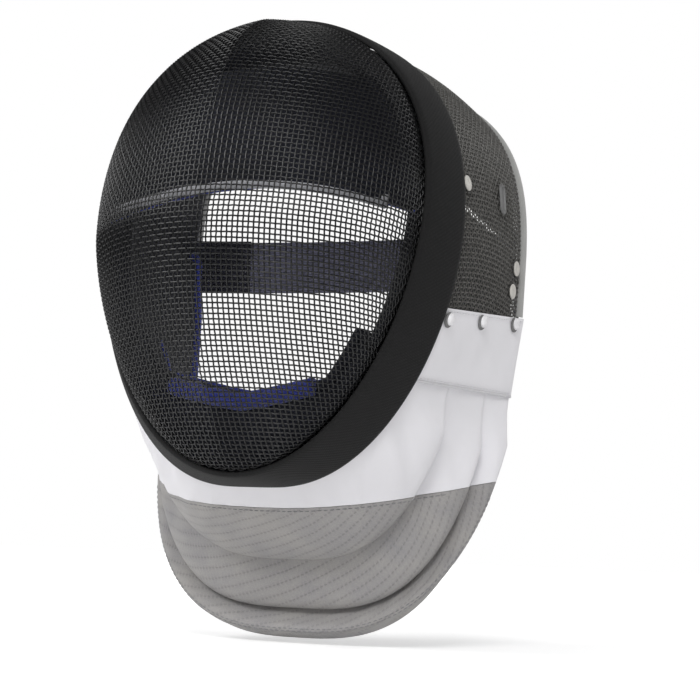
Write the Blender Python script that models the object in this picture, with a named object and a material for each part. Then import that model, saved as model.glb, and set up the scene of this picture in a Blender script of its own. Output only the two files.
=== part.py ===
"""Fencing mask: woven face, padded rim trim, woven crown, strap, lining pads and pleated bib.

The wearer faces -Y, +Z is up and +X is the wearer's left. The origin is the head seat, the
point under the crown pad where the top of the head meets the mask. All lengths are metres.
"""
import math

import bmesh
import bpy
from mathutils import Vector

# Clearance between pieces that are sewn, clipped or seated on each other
GAP = 0.0003
PAD_GAP = 0.0005
TUCK_GAP = 0.0007

# Rim: the egg outline that the trim, the face, the crown and the bib all follow
RIM_HEIGHT = 0.285
RIM_HALF_WIDTH = 0.107
RIM_EGG = 0.13
RIM_SQUARE = 0.02
RIM_TILT = math.radians(9.1)
SEAT_ABOVE_RIM_CENTRE = 0.130
SEAT_BEHIND_RIM_CENTRE = 0.095

# Trim: the padded black band round the rim
TRIM_DEPTH = 0.0315
TRIM_WALL = 0.003
TRIM_FLARE = 0.0130
TRIM_FLARE_LOW = 0.0028
TRIM_FLARE_EASE = 0.25
TRIM_ROUND = 0.0009

# Woven steel sheet of the face and the crown, two wires thick
SHEET = 0.002
TUCK = 0.007

# Face: how far the woven front stands out of the rim
FACE_DEPTH = 0.0785
FACE_PEAK = -0.05
FACE_BROW_POWER = 3.0
FACE_BROW_ROOT = 1.75
FACE_CHIN_POWER = 1.62
FACE_CHIN_ROOT = 1.33

# Crown: the woven shell behind the rim, open at the back in an arch
CROWN_HALF_WIDTH = 0.1195
CROWN_REACH = 0.150
CROWN_NAPE_REACH = 0.184
CROWN_EDGE_LEAN = 0.004
CROWN_BULGE = 0.011
CROWN_SIDE_BULGE = 0.001
CROWN_BULGE_FADE = 6
ARCH_TOP = 0.122
ARCH_SPRING = 0.0115
ARCH_SPRING_ANGLE = math.radians(75.0)
ARCH_SQUARE = 2.7
ARCH_SWEEP = 1.6
EDGE_WIDTH = 0.009
EDGE_THICKNESS = 0.0045
EDGE_ROUND = 0.0012
BINDING_STOP = math.radians(0.5)

# Bib: side bands riveted to the crown, white cloth and grey conductive cloth
BAND_ANGLE = math.radians(102.5)
SEAM_ANGLE = math.radians(120.5)
BAND_RISE = 0.008
BAND_WALL = 0.0022
BAND_OVERLAP_ANGLE = math.radians(5.5)
SEAM_HALF_WIDTH = 0.117
SEAM_REACH = 0.132
BIB_WALL = 0.0040
BIB_DROP = 0.156
PLEAT_STEP = 0.0035
PLEAT_PUFF = 0.0025
CLOTH_JOIN_DROP = 0.0765
CLOTH_JOIN_RISE = 0.15
CLOTH_JOIN_CURVE = 0.0095
SEAM_FADE = math.radians(14.0)

# Strap across the back of the head
STRAP_HEIGHT = 0.035
STRAP_WALL = 0.0016
STRAP_CENTRE = 0.0075
STRAP_BOW = 0.016
STRAP_SETBACK = 0.003
STRAP_FOLD_LENGTH = 0.040
STRAP_FOLD_OVERHANG = 0.001

# Lining pads
PAD_STEPS = 7
PAD_END_ROWS = 2
PAD_EDGE_ROWS = 1.5
PAD_EDGE_SHARE = 0.55
CROWN_PAD = 0.009
CROWN_PAD_STATION = 11.7
CROWN_PAD_RIM = 0.016
CROWN_PAD_ROWS = 18
CROWN_PAD_SPAN = (0.0, 0.92)
SIDE_PAD = 0.010
SIDE_PAD_STATIONS = (12.1, 19)
SIDE_PAD_ROWS = 7
SIDE_PAD_START = 0.03
SIDE_PAD_REACH = (0.90, 1.0)
BROW_PAD_DEPTH = 0.030
BROW_PAD_FRONT = 0.030
BROW_PAD_EDGE = 0.032
BROW_PAD_TOP = 0.098
BROW_PAD_ARCH = 0.018
BROW_PAD_HALF_WIDTH = 0.1
BROW_PAD_SEAT = 0.0018
BROW_PAD_EASE = 0.0036
BROW_PAD_LEAN = 0.004
BROW_PAD_LEVELS = 7
BROW_PAD_STEPS = 8
CHIN_PAD_FRONT = 0.002
CHIN_PAD_DEPTH = 0.026
CHIN_PAD_ANGLE = math.radians(122.0)
CHIN_PAD_HALF_WIDTH = 0.076
CHIN_PAD_NARROWING = 0.86
CHIN_PAD_HEIGHT = 0.020
CHIN_PAD_CROWN = 0.002
CHIN_PAD_STEPS = 24
CHIN_PAD_TOP = 0.094
CHIN_PAD_SLOPE = 0.010
CHIN_PAD_ARCH = 0.022
CHIN_PAD_ARCH_POWER = 1.2

# Fittings on the sides
DISC_RADIUS = 0.0048
DISC_HEIGHT = 0.0011
PLATE_LENGTH = 0.020
PLATE_WIDTH = 0.008
PLATE_WALL = 0.0012
RIVET_RADIUS = 0.0046
RIVET_HEIGHT = 0.0028

# Grid counts of the faceted surfaces
ROUND_STEPS = 52
FACE_RINGS = 12
CROWN_STEPS = 16
CROWN_ROWS = 9
BIB_STEPS = 34
STRAP_STEPS = 20
STRAP_FOLD_STEPS = 5
BUTTON_SIDES = 14
PLATE_SIDES = 8

# Angles in degrees past which an edge is drawn sharp
SHARP_CLOTH = 40.0
SHARP_SHEET = 60.0
SHARP_PAD = 50.0
SHARP_FITTING = 35.0

# Face section: how sharply the midline is creased, by height on the rim
FACE_CREASE = (
    # share of half height, section power
    (-1.00, 1.12),
    (-0.70, 1.22),
    (-0.40, 1.60),
    (-0.05, 1.90),
    (0.35, 1.50),
    (0.70, 1.22),
    (1.00, 1.12),
)

# Shares of the way from one fold to the next at which the cloth's section is set
BIB_PARTS = (0.06, 0.35, 0.68, 1.0)

# Bib folds: each row is one U-shaped line from the seam under the chin to the other seam
BIB_FOLDS = (
    # share along the seam, front reach over seam reach, drop over bib drop, squareness, narrowing
    (0.363, 0.482, 0.659, 3.4, 0.309),
    (0.743, 0.621, 0.867, 3.4, 0.183),
    (1.000, 0.578, 0.999, 2.9, 0.071),
)

# Fittings pressed through the crown wall, on both sides
SIDE_DISCS = (
    # name, rim angle in degrees, share of the way back
    ("front", 71.5, 0.085),
    ("rear", 84.0, 0.830),
    ("low", 93.0, 0.800),
)
PLATE_ANGLE = math.radians(69.0)
PLATE_SHARE = 0.590
PLATE_TAPER = 0.94

# Band rivets, on both sides
BAND_RIVETS = (
    # name, share of the band's height from its top, share of the way back
    ("front", 0.145, 0.050),
    ("middle", 0.115, 0.430),
    ("rear", 0.090, 0.845),
)

# Sections of the round fittings: share of the radius, share of the height
DISC_PROFILE = ((1.0, 0.0), (1.0, 0.7), (0.9, 1.0))
DOME_PROFILE = ((1.0, 0.0), (1.0, 0.45), (0.82, 0.85), (0.45, 1.0))

COLOURS = {
    # material: base colour, metallic, roughness
    "black_wire": ((0.012, 0.012, 0.013), 0.7, 0.38),
    "dark_wire": ((0.035, 0.035, 0.034), 0.7, 0.42),
    "black_cloth": ((0.012, 0.012, 0.013), 0.0, 0.85),
    "grey_tape": ((0.22, 0.22, 0.22), 0.0, 0.75),
    "white_cloth": ((0.86, 0.86, 0.88), 0.0, 0.8),
    "grey_lame": ((0.33, 0.32, 0.33), 0.35, 0.55),
    "elastic": ((0.06, 0.06, 0.09), 0.0, 0.8),
    "navy_pad": ((0.015, 0.02, 0.06), 0.0, 0.85),
    "pale_plastic": ((0.7, 0.69, 0.66), 0.0, 0.4),
    "grey_plastic": ((0.2, 0.2, 0.2), 0.0, 0.5),
    "white_plastic": ((0.88, 0.88, 0.9), 0.0, 0.35),
}

HALF_HEIGHT = RIM_HEIGHT / 2
RIM_CENTRE = Vector((0.0, -SEAT_BEHIND_RIM_CENTRE, -SEAT_ABOVE_RIM_CENTRE))
RIM_UP = Vector((0.0, math.sin(RIM_TILT), math.cos(RIM_TILT)))
RIM_BACK = Vector((0.0, math.cos(RIM_TILT), -math.sin(RIM_TILT)))


def mix(a, b, share):
    return a + (b - a) * share


def table_value(table, at):
    """Read a two-column table at a value, straight between its rows."""
    for (low, first), (high, second) in zip(table, table[1:]):
        if at <= high:
            return mix(first, second, max(0.0, (at - low) / (high - low)))
    return table[-1][1]


def power(value, exponent):
    return math.copysign(abs(value) ** exponent, value)


def rim_outline(angle):
    """Sideways and upward place of the egg outline, with angle 0 at the top."""
    egg = 1 + RIM_EGG * math.cos(angle) + RIM_SQUARE * math.cos(2 * angle)
    return RIM_HALF_WIDTH * math.sin(angle) * egg, HALF_HEIGHT * math.cos(angle)


def rim_outward(angle):
    """Unit normal of the egg outline in the rim plane, pointing out of the mask."""
    step = 1e-4
    x0, z0 = rim_outline(angle - step)
    x1, z1 = rim_outline(angle + step)
    length = math.hypot(x1 - x0, z1 - z0)
    return (z0 - z1) / length, (x1 - x0) / length


def rim_point(angle, outward, back):
    """Point beside the rim: outward from the outline and back along the head."""
    x, up = rim_outline(angle)
    nx, nup = rim_outward(angle)
    place = RIM_CENTRE + Vector((x + nx * outward, 0.0, 0.0))
    return place + RIM_UP * (up + nup * outward) + RIM_BACK * back


def trim_flare(angle):
    """How far the trim's back edge stands out past its front edge."""
    widest = TRIM_FLARE - TRIM_FLARE_LOW * math.cos(angle)
    square = math.sin(angle) ** 2
    return widest * square * (1 + TRIM_FLARE_EASE) / (square + TRIM_FLARE_EASE)


def inside_trim(angle, back, depth):
    """Point a given depth under the trim's inner face."""
    offset = trim_flare(angle) * back / TRIM_DEPTH - TRIM_WALL / 2 - TUCK_GAP - depth
    return rim_point(angle, offset, back)


def clean_mesh(bm):
    bmesh.ops.remove_doubles(bm, verts=bm.verts, dist=1e-6)
    bmesh.ops.recalc_face_normals(bm, faces=bm.faces)


def add_object(name, bm, material, sharp=SHARP_CLOTH):
    """Turn a bmesh into a named object with its own material."""
    clean_mesh(bm)
    if bm.calc_volume(signed=True) < 0:
        bmesh.ops.reverse_faces(bm, faces=bm.faces)
    mesh = bpy.data.meshes.new(name)
    bm.to_mesh(mesh)
    bm.free()
    mesh.shade_smooth()
    mesh.set_sharp_from_angle(angle=math.radians(sharp))
    obj = bpy.data.objects.new(name, mesh)
    bpy.context.scene.collection.objects.link(obj)
    obj.data.materials.append(make_material(material))
    return obj


def make_material(name):
    if name in bpy.data.materials:
        return bpy.data.materials[name]
    colour, metallic, roughness = COLOURS[name]
    material = bpy.data.materials.new(name)
    material.use_nodes = True
    shader = material.node_tree.nodes["Principled BSDF"]
    shader.inputs["Base Color"].default_value = (*colour, 1.0)
    shader.inputs["Metallic"].default_value = metallic
    shader.inputs["Roughness"].default_value = roughness
    material.diffuse_color = (*colour, 1.0)
    return material


def shell_mesh(outer, inner):
    """Closed body between two grids of points that face each other."""
    bm = bmesh.new()
    rows, cols = len(outer), len(outer[0])
    top = [[bm.verts.new(point) for point in row] for row in outer]
    low = [[bm.verts.new(point) for point in row] for row in inner]
    for i in range(rows - 1):
        for j in range(cols - 1):
            bm.faces.new((top[i][j], top[i][j + 1], top[i + 1][j + 1], top[i + 1][j]))
            bm.faces.new((low[i][j], low[i + 1][j], low[i + 1][j + 1], low[i][j + 1]))
    border = [(0, j) for j in range(cols)]
    border += [(i, cols - 1) for i in range(1, rows)]
    border += [(rows - 1, j) for j in range(cols - 2, -1, -1)]
    border += [(i, 0) for i in range(rows - 2, 0, -1)]
    for (i, j), (k, m) in zip(border, border[1:] + border[:1]):
        bm.faces.new((top[i][j], low[i][j], low[k][m], top[k][m]))
    return bm


def loop_mesh(sections, closed):
    """Body swept through closed loops of points, in a ring or with flat ends."""
    bm = bmesh.new()
    loops = [[bm.verts.new(point) for point in section] for section in sections]
    pairs = list(zip(loops, loops[1:]))
    if closed:
        pairs.append((loops[-1], loops[0]))
    else:
        bm.faces.new(loops[0])
        bm.faces.new(list(reversed(loops[-1])))
    for first, second in pairs:
        count = len(first)
        for k in range(count):
            n = (k + 1) % count
            bm.faces.new((first[k], second[k], second[n], first[n]))
    return bm


def grid_normals(grid, inside):
    """Unit normals of a grid of points, pointing away from a place inside it."""
    rows, cols = len(grid), len(grid[0])
    normals = []
    for i in range(rows):
        line = []
        for j in range(cols):
            along = grid[min(i + 1, rows - 1)][j] - grid[max(i - 1, 0)][j]
            across = grid[i][min(j + 1, cols - 1)] - grid[i][max(j - 1, 0)]
            normal = along.cross(across).normalized()
            line.append(normal if normal.dot(grid[i][j] - inside) > 0 else -normal)
        normals.append(line)
    return normals


def rounded_slab(width, thickness, bevel):
    """Section of a padded strip: eight corners of a rounded rectangle."""
    w, t, b = width / 2, thickness / 2, bevel
    return (
        (-w, -t + b), (-w, t - b), (-w + b, t), (w - b, t),
        (w, t - b), (w, -t + b), (w - b, -t), (-w + b, -t),
    )


# Rim trim

def rim_trim():
    """Padded band round the rim, wider at the back than at the front."""
    sections = []
    slab = rounded_slab(TRIM_DEPTH, TRIM_WALL, TRIM_ROUND)
    for k in range(ROUND_STEPS):
        angle = 2 * math.pi * k / ROUND_STEPS
        flare = trim_flare(angle)
        section = []
        for along, out in slab:
            back = along + TRIM_DEPTH / 2
            section.append(rim_point(angle, flare * back / TRIM_DEPTH + out, back))
        sections.append(section)
    add_object("rim_trim", loop_mesh(sections, True), "black_cloth")


# Face

def face_width(up):
    """Half width of the rim outline at a height above its centre."""
    share = max(-1.0, min(1.0, up / HALF_HEIGHT))
    return rim_outline(math.acos(share))[0]


def face_profile(up):
    """How far the midline stands out of the rim plane at a height."""
    share = max(-1.0, min(1.0, up / HALF_HEIGHT))
    if share > FACE_PEAK:
        fall = (share - FACE_PEAK) / (1 - FACE_PEAK)
        return FACE_DEPTH * max(0.0, 1 - fall ** FACE_BROW_POWER) ** (1 / FACE_BROW_ROOT)
    fall = (FACE_PEAK - share) / (1 + FACE_PEAK)
    return FACE_DEPTH * max(0.0, 1 - fall ** FACE_CHIN_POWER) ** (1 / FACE_CHIN_ROOT)


def face_depth(x, up):
    """How far the woven face stands out of the rim plane."""
    width = face_width(up)
    if width < 1e-6:
        return 0.0
    side = min(1.0, abs(x) / width)
    crease = table_value(FACE_CREASE, up / HALF_HEIGHT)
    return face_profile(up) * math.sqrt(max(0.0, 1 - side ** crease))


def face_point(angle, share, inset):
    """Point on the woven face: share 0 at its middle, 1 on the rim, inset under the trim."""
    x, up = rim_outline(angle)
    nx, nup = rim_outward(angle)
    middle = FACE_PEAK * HALF_HEIGHT
    full_x, full_up = x * share, mix(middle, up, share)
    depth = face_depth(full_x, full_up)
    edge_x, edge_up = (x - nx * inset) * share, mix(middle, up - nup * inset, share)
    place = RIM_CENTRE + Vector((edge_x, 0.0, 0.0))
    return place + RIM_UP * edge_up - RIM_BACK * depth


def front_mesh():
    """Woven face, as one wall with a tucked skirt that the trim covers."""
    inset = TRIM_WALL / 2 + GAP
    rings = []
    for k in range(1, FACE_RINGS + 1):
        share = math.sin(math.pi / 2 * k / FACE_RINGS)
        rings.append([
            face_point(2 * math.pi * j / ROUND_STEPS, share, inset) for j in range(ROUND_STEPS)
        ])
    middle = face_point(0.0, 0.0, inset)
    inner_rings = []
    for k, ring in enumerate(rings[:-1]):
        before = rings[k - 1] if k else [middle] * ROUND_STEPS
        after = rings[k + 1]
        inner = []
        for j, point in enumerate(ring):
            across = ring[(j + 1) % ROUND_STEPS] - ring[j - 1]
            normal = across.cross(after[j] - before[j]).normalized()
            if normal.y > 0:
                normal = -normal
            inner.append(point - normal * SHEET)
        inner_rings.append(inner)
    edge = [2 * math.pi * j / ROUND_STEPS for j in range(ROUND_STEPS)]
    inner_rings.append([rim_point(a, -inset - SHEET, 0.0) for a in edge])
    skirt = [rim_point(a, -inset, TUCK) for a in edge]
    inner_skirt = [rim_point(a, -inset - SHEET, TUCK) for a in edge]

    bm = bmesh.new()
    loops = rings + [skirt, inner_skirt] + list(reversed(inner_rings))
    loops = [[bm.verts.new(point) for point in loop] for loop in loops]
    for first, second in zip(loops, loops[1:]):
        for j in range(ROUND_STEPS):
            n = (j + 1) % ROUND_STEPS
            bm.faces.new((first[j], second[j], second[n], first[n]))
    poles = (bm.verts.new(middle), bm.verts.new(middle + RIM_BACK * SHEET))
    for pole, loop in zip(poles, (loops[0], loops[-1])):
        for j in range(ROUND_STEPS):
            bm.faces.new((pole, loop[j], loop[(j + 1) % ROUND_STEPS]))
    add_object("front_mesh", bm, "black_wire", SHARP_SHEET)


# Crown, band and binding share one surface that runs back from the trim

def seat_height(angle):
    """Height above the rim's centre of the trim's back edge at an angle."""
    return inside_trim(angle, TRIM_DEPTH, 0.0).z - RIM_CENTRE.z


def back_edge(angle):
    """Point on the mask's back edge that lies level with a rim angle."""
    side = math.copysign(1.0, angle)
    turn = abs(angle)
    if turn <= ARCH_SPRING_ANGLE:
        lean = math.pi / 2 * turn / ARCH_SPRING_ANGLE
        across = math.sin(lean) ** (2 / ARCH_SQUARE)
        x = CROWN_HALF_WIDTH * across
        z = ARCH_SPRING + (ARCH_TOP - ARCH_SPRING) * math.cos(lean) ** (2 / ARCH_SQUARE)
        y = mix(CROWN_REACH, CROWN_NAPE_REACH, (1 - across ** 2) ** ARCH_SWEEP)
    elif turn <= BAND_ANGLE:
        share = (turn - ARCH_SPRING_ANGLE) / (BAND_ANGLE - ARCH_SPRING_ANGLE)
        x = CROWN_HALF_WIDTH
        z = mix(ARCH_SPRING, seat_height(BAND_ANGLE) + BAND_RISE, share)
        y = CROWN_REACH - CROWN_EDGE_LEAN * share
    else:
        share = (turn - BAND_ANGLE) / (SEAM_ANGLE - BAND_ANGLE)
        x = mix(CROWN_HALF_WIDTH, SEAM_HALF_WIDTH, share)
        z = mix(seat_height(BAND_ANGLE) + BAND_RISE, seat_height(SEAM_ANGLE), share)
        y = mix(CROWN_REACH - CROWN_EDGE_LEAN, SEAM_REACH, share)
    return RIM_CENTRE + Vector((side * x, y, z))


def crown_bulge(angle):
    turn = abs(angle)
    if turn < math.pi / 2:
        return mix(CROWN_SIDE_BULGE, CROWN_BULGE, math.cos(turn) ** CROWN_BULGE_FADE)
    return CROWN_SIDE_BULGE * max(0.0, 1 - (turn - math.pi / 2) / (SEAM_ANGLE - math.pi / 2))


def crown_point(angle, share, depth=0.0):
    """Point on the crown's outer face: share 0 at the trim, 1 at the back edge."""
    nx, nup = rim_outward(angle)
    outward = Vector((nx, 0.0, nup)).normalized()
    start = inside_trim(angle, TRIM_DEPTH, 0.0)
    place = start.lerp(back_edge(angle), share)
    return place + outward * (4 * share * (1 - share) * crown_bulge(angle) - depth)


def crown_length(angle):
    """Distance from the trim's back edge to the mask's back edge."""
    return (back_edge(angle) - inside_trim(angle, TRIM_DEPTH, 0.0)).length


def crown_row(angle, shares, depth):
    """Points from inside the trim to a share of the way back, at a depth in the wall."""
    tucked = inside_trim(angle, TRIM_DEPTH - TUCK, depth)
    return [tucked] + [crown_point(angle, share, depth) for share in shares]


def crown_angle(station):
    """Rim angle of a station; stations run from 0 over the head to the band's top and below."""
    below = max(0.0, abs(station) - CROWN_STEPS)
    turn = BAND_ANGLE * (abs(station) - below) / CROWN_STEPS + BAND_OVERLAP_ANGLE * below
    return math.copysign(turn, station)


def crown_share(angle, row):
    """Share of the way back of a row of the woven wall, whose last row meets the binding."""
    last = 1 - (EDGE_WIDTH + GAP) / crown_length(angle)
    return last * row / CROWN_ROWS


def back_mesh():
    """Woven crown and sides, from under the trim to the binding."""
    outer, inner = [], []
    for station in range(-CROWN_STEPS - 1, CROWN_STEPS + 2):
        angle = crown_angle(station)
        shares = [crown_share(angle, row) for row in range(CROWN_ROWS + 1)]
        outer.append(crown_row(angle, shares, 0.0))
        inner.append(crown_row(angle, shares, SHEET))
    add_object("back_mesh", shell_mesh(outer, inner), "dark_wire", SHARP_SHEET)


def back_binding():
    """Grey tape bound round the crown's back edge."""
    slab = rounded_slab(EDGE_WIDTH, EDGE_THICKNESS, EDGE_ROUND)
    sections = []
    last = 1 - BINDING_STOP / BAND_ANGLE
    for station in range(-CROWN_STEPS, CROWN_STEPS + 1):
        angle = crown_angle(station) * last
        length = crown_length(angle)
        section = []
        for along, out in slab:
            share = 1 - (EDGE_WIDTH / 2 - along) / length
            section.append(crown_point(angle, share, SHEET / 2 - out))
        sections.append(section)
    add_object("back_binding", loop_mesh(sections, False), "grey_tape")


def side_name(side):
    return "left" if side > 0 else "right"


def bib_band(side):
    """White band along the lower edge of the crown's side, from the trim to the back edge."""
    outer, inner = [], []
    covered = BAND_ANGLE + BAND_OVERLAP_ANGLE
    for turn in (BAND_ANGLE, covered, mix(covered, SEAM_ANGLE, 0.5), SEAM_ANGLE):
        angle = side * turn
        shares = [crown_share(angle, row) for row in range(CROWN_ROWS + 1)] + [1.0]
        shares[0] = 2 * GAP / crown_length(angle)
        inner.append([crown_point(angle, share, -GAP) for share in shares])
        outer.append([crown_point(angle, share, -GAP - BAND_WALL) for share in shares])
    add_object(f"bib_band_{side_name(side)}", shell_mesh(outer, inner), "white_cloth")


# Bib cloth

def bib_line(row, turn):
    """Point on one fold line; turn runs from -90 degrees at one seam to 90 at the other."""
    share, front_reach, drop, square, narrow = row
    start = inside_trim(SEAM_ANGLE, TRIM_DEPTH, 0.0)
    end = back_edge(SEAM_ANGLE)
    seam = start.lerp(end, share) - RIM_CENTRE
    across = power(math.sin(turn), 2 / square)
    fall = abs(math.cos(turn)) ** (2 / square)
    z = seam.z - BIB_DROP * drop * fall
    y = mix(seam.y, SEAM_REACH * front_reach, fall)
    return RIM_CENTRE + Vector((seam.x * across * (1 - narrow * fall), y, z))


def bib_start(turn, back, depth):
    """Point where the bib leaves the trim."""
    angle = math.copysign(math.pi - (math.pi - SEAM_ANGLE) * abs(turn) / (math.pi / 2), turn)
    return inside_trim(angle, back, depth)


def bib_grid():
    """Outer face of the bib with its steps, and the plain face under it."""
    turns = [math.radians(mix(-90.0, 90.0, k / BIB_STEPS)) for k in range(BIB_STEPS + 1)]
    curves = [[bib_start(turn, TRIM_DEPTH, 0.0) for turn in turns]]
    curves += [[bib_line(row, turn) for turn in turns] for row in BIB_FOLDS]
    plain = [[bib_start(turn, TRIM_DEPTH - TUCK, 0.0) for turn in turns], curves[0]]
    lifts = [0.0, 0.0]
    for first, second in zip(curves, curves[1:]):
        for part in BIB_PARTS:
            plain.append([a.lerp(b, part) for a, b in zip(first, second)])
            puff = 4 * part * (1 - part) * PLEAT_PUFF
            lifts.append(PLEAT_STEP * part + puff if part > BIB_PARTS[0] else 0.0)
    return turns, plain, lifts


def bib_body():
    """The whole bib as one closed wall, stepped at each fold."""
    turns, plain, lifts = bib_grid()
    inside = Vector((0.0, SEAM_REACH, seat_height(SEAM_ANGLE) - CLOTH_JOIN_DROP))
    normals = grid_normals(plain, RIM_CENTRE + inside)
    fades = [min(1.0, (math.pi / 2 - abs(turn)) / SEAM_FADE) for turn in turns]
    outer, inner = [], []
    for row, line, lift in zip(plain, normals, lifts):
        outer.append([p + n * lift * fade for p, n, fade in zip(row, line, fades)])
        inner.append([p - n * BIB_WALL for p, n in zip(row, line)])
    outer[0] = [bib_start(turn, TRIM_DEPTH - TUCK, 0.0) for turn in turns]
    inner[0] = [bib_start(turn, TRIM_DEPTH - TUCK, BIB_WALL) for turn in turns]
    inner[1] = [bib_start(turn, TRIM_DEPTH, BIB_WALL) for turn in turns]
    return shell_mesh(outer, inner)


def raise_sides(bm, height):
    """Shift a mesh upward in proportion to the square of its distance from the middle."""
    for vert in bm.verts:
        vert.co.z += height * (vert.co.x / SEAM_HALF_WIDTH) ** 2


def bib_part(name, keep, material):
    """Cut the bib along the line where the white cloth meets the grey."""
    bm = bib_body()
    clean_mesh(bm)
    raise_sides(bm, -CLOTH_JOIN_CURVE)
    normal = Vector((0.0, -CLOTH_JOIN_RISE, 1.0)).normalized() * keep
    level = seat_height(SEAM_ANGLE) - CLOTH_JOIN_DROP
    through = RIM_CENTRE + Vector((0.0, TRIM_DEPTH, level)) + normal * GAP / 2
    parts = bm.verts[:] + bm.edges[:] + bm.faces[:]
    cut = bmesh.ops.bisect_plane(
        bm, geom=parts, dist=1e-7, plane_co=through, plane_no=normal, clear_inner=True)
    rim = [item for item in cut["geom_cut"] if isinstance(item, bmesh.types.BMEdge)]
    bmesh.ops.holes_fill(bm, edges=rim, sides=0)
    bmesh.ops.triangulate(bm, faces=[face for face in bm.faces if len(face.verts) > 4])
    raise_sides(bm, CLOTH_JOIN_CURVE)
    add_object(name, bm, material)


# Strap

def strap_half_width(back):
    """Half the length of a strap that ends just inside the crown's walls."""
    front = CROWN_REACH - EDGE_WIDTH - STRAP_SETBACK + back - STRAP_WALL / 2
    widths = []
    for angle in (ARCH_SPRING_ANGLE, BAND_ANGLE):
        start = inside_trim(angle, TRIM_DEPTH, 0.0).y - RIM_CENTRE.y
        share = (front - start) / (back_edge(angle).y - RIM_CENTRE.y - start)
        widths.append(crown_point(angle, share, SHEET + GAP).x)
    return min(widths) - GAP


def strap_line(x, back):
    """Point on the strap's middle line, bowed back between the crown's sides."""
    bow = STRAP_BOW * (1 - (x / strap_half_width(0.0)) ** 2)
    place = Vector((x, CROWN_REACH - EDGE_WIDTH - STRAP_SETBACK + bow + back, STRAP_CENTRE))
    return RIM_CENTRE + place


def strap_piece(name, first, last, back, height, steps):
    sections = []
    for k in range(steps + 1):
        centre = strap_line(mix(first, last, k / steps), back)
        w, h = STRAP_WALL / 2, height / 2
        corners = ((-w, -h), (w, -h), (w, h), (-w, h))
        sections.append([centre + Vector((0.0, a, b)) for a, b in corners])
    add_object(name, loop_mesh(sections, False), "elastic")


def strap():
    half = strap_half_width(0.0)
    strap_piece("back_strap", -half, half, 0.0, STRAP_HEIGHT, STRAP_STEPS)
    doubled = -STRAP_WALL - GAP
    end = -strap_half_width(doubled)
    strap_piece("strap_fold", end, end + STRAP_FOLD_LENGTH, doubled,
                STRAP_HEIGHT + STRAP_FOLD_OVERHANG, STRAP_FOLD_STEPS)


# Lining

def wall_point(station, share, depth):
    """Point on the faceted wall, between the four nearest points of its grid."""
    low = math.floor(station)
    row = share * CROWN_ROWS
    first = min(math.floor(row), CROWN_ROWS - 1)
    edges = []
    for near in (low, low + 1):
        turn = crown_angle(near)
        pair = [crown_point(turn, crown_share(turn, k), depth) for k in (first, first + 1)]
        edges.append(pair[0].lerp(pair[1], row - first))
    return edges[0].lerp(edges[1], station - low)


def rim_rows(station, depth):
    """Three points on a pad's outer face where it lies under the trim and the face's skirt."""
    angle = crown_angle(station)
    under_skirt = -TRIM_WALL / 2 - GAP - SHEET - depth
    return [
        rim_point(angle, under_skirt, GAP),
        rim_point(angle, under_skirt, TUCK + GAP),
        inside_trim(angle, TRIM_DEPTH - TUCK - GAP, SHEET + depth),
    ]


def pad_on_wall(name, stations, spans, thickness, rim_thickness):
    """Pad that lines the crown's wall and runs forward under the trim, thinner at its edges."""
    outer, inner = [], []
    rows = len(stations) - 1
    for i, station in enumerate(stations):
        first, last = spans[i]
        edge_rows = [[], []]
        shares = [mix(first, last, k / PAD_STEPS) for k in range(PAD_STEPS + 1)]
        under_trim = len(rim_rows(station, 0.0))
        count = PAD_STEPS + under_trim
        for k in range(count + 1):
            edge = min(min(i, rows - i) / PAD_END_ROWS, min(k, count - k) / PAD_EDGE_ROWS, 1.0)
            middle = rim_thickness if k < under_trim - 1 else thickness
            full = middle * mix(PAD_EDGE_SHARE, 1.0, math.sqrt(edge))
            for row, depth in zip(edge_rows, (PAD_GAP, PAD_GAP + full)):
                if k < under_trim:
                    row.append(rim_rows(station, depth)[k])
                else:
                    row.append(wall_point(station, shares[k - under_trim], SHEET + depth))
        outer.append(edge_rows[0])
        inner.append(edge_rows[1])
    add_object(name, shell_mesh(outer, inner), "navy_pad", SHARP_PAD)


def crown_pad():
    half, rows = CROWN_PAD_STATION, CROWN_PAD_ROWS
    stations = [mix(-half, half, k / rows) for k in range(rows + 1)]
    pad_on_wall("crown_pad", stations, [CROWN_PAD_SPAN] * (rows + 1), CROWN_PAD, CROWN_PAD_RIM)


def side_pad(side):
    rows = SIDE_PAD_ROWS
    stations = [side * mix(*SIDE_PAD_STATIONS, k / rows) for k in range(rows + 1)]
    spans = [(SIDE_PAD_START, mix(*SIDE_PAD_REACH, k / rows)) for k in range(rows + 1)]
    pad_on_wall(f"side_pad_{side_name(side)}", stations, spans, SIDE_PAD, SIDE_PAD)


def brow_pad():
    """Deep pad in front of the forehead, wedged between the sides of the woven face."""
    sections = []
    for level in range(BROW_PAD_LEVELS + 1):
        share = level / BROW_PAD_LEVELS
        section = []
        for back, side in ((0.0, 1), (BROW_PAD_DEPTH, -1)):
            half = side * brow_half_width(share, back)
            for k in range(BROW_PAD_STEPS + 1):
                section.append(brow_point(share, mix(-half, half, k / BROW_PAD_STEPS), back))
        sections.append(section)
    add_object("brow_pad", loop_mesh(sections, False), "navy_pad", SHARP_PAD)


def brow_point(share, x, back):
    """Point on the brow pad: share 0 along its lower edge, 1 along its top, back from its front."""
    front = BROW_PAD_FRONT + BROW_PAD_LEAN * share
    drop = BROW_PAD_ARCH * (x / BROW_PAD_HALF_WIDTH) ** 2 * (1 - share / 2)
    return RIM_CENTRE + Vector((x, back - front, mix(BROW_PAD_EDGE, BROW_PAD_TOP, share) - drop))


def brow_half_width(share, back):
    """Half width at which the brow pad meets the inside of the woven face."""
    step = 0.00025
    x = BROW_PAD_HALF_WIDTH / 5
    seat = SHEET + BROW_PAD_SEAT + BROW_PAD_EASE * back / BROW_PAD_DEPTH
    while face_clearance(brow_point(share, x + step, back)) > seat:
        x += step
    return x


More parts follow.
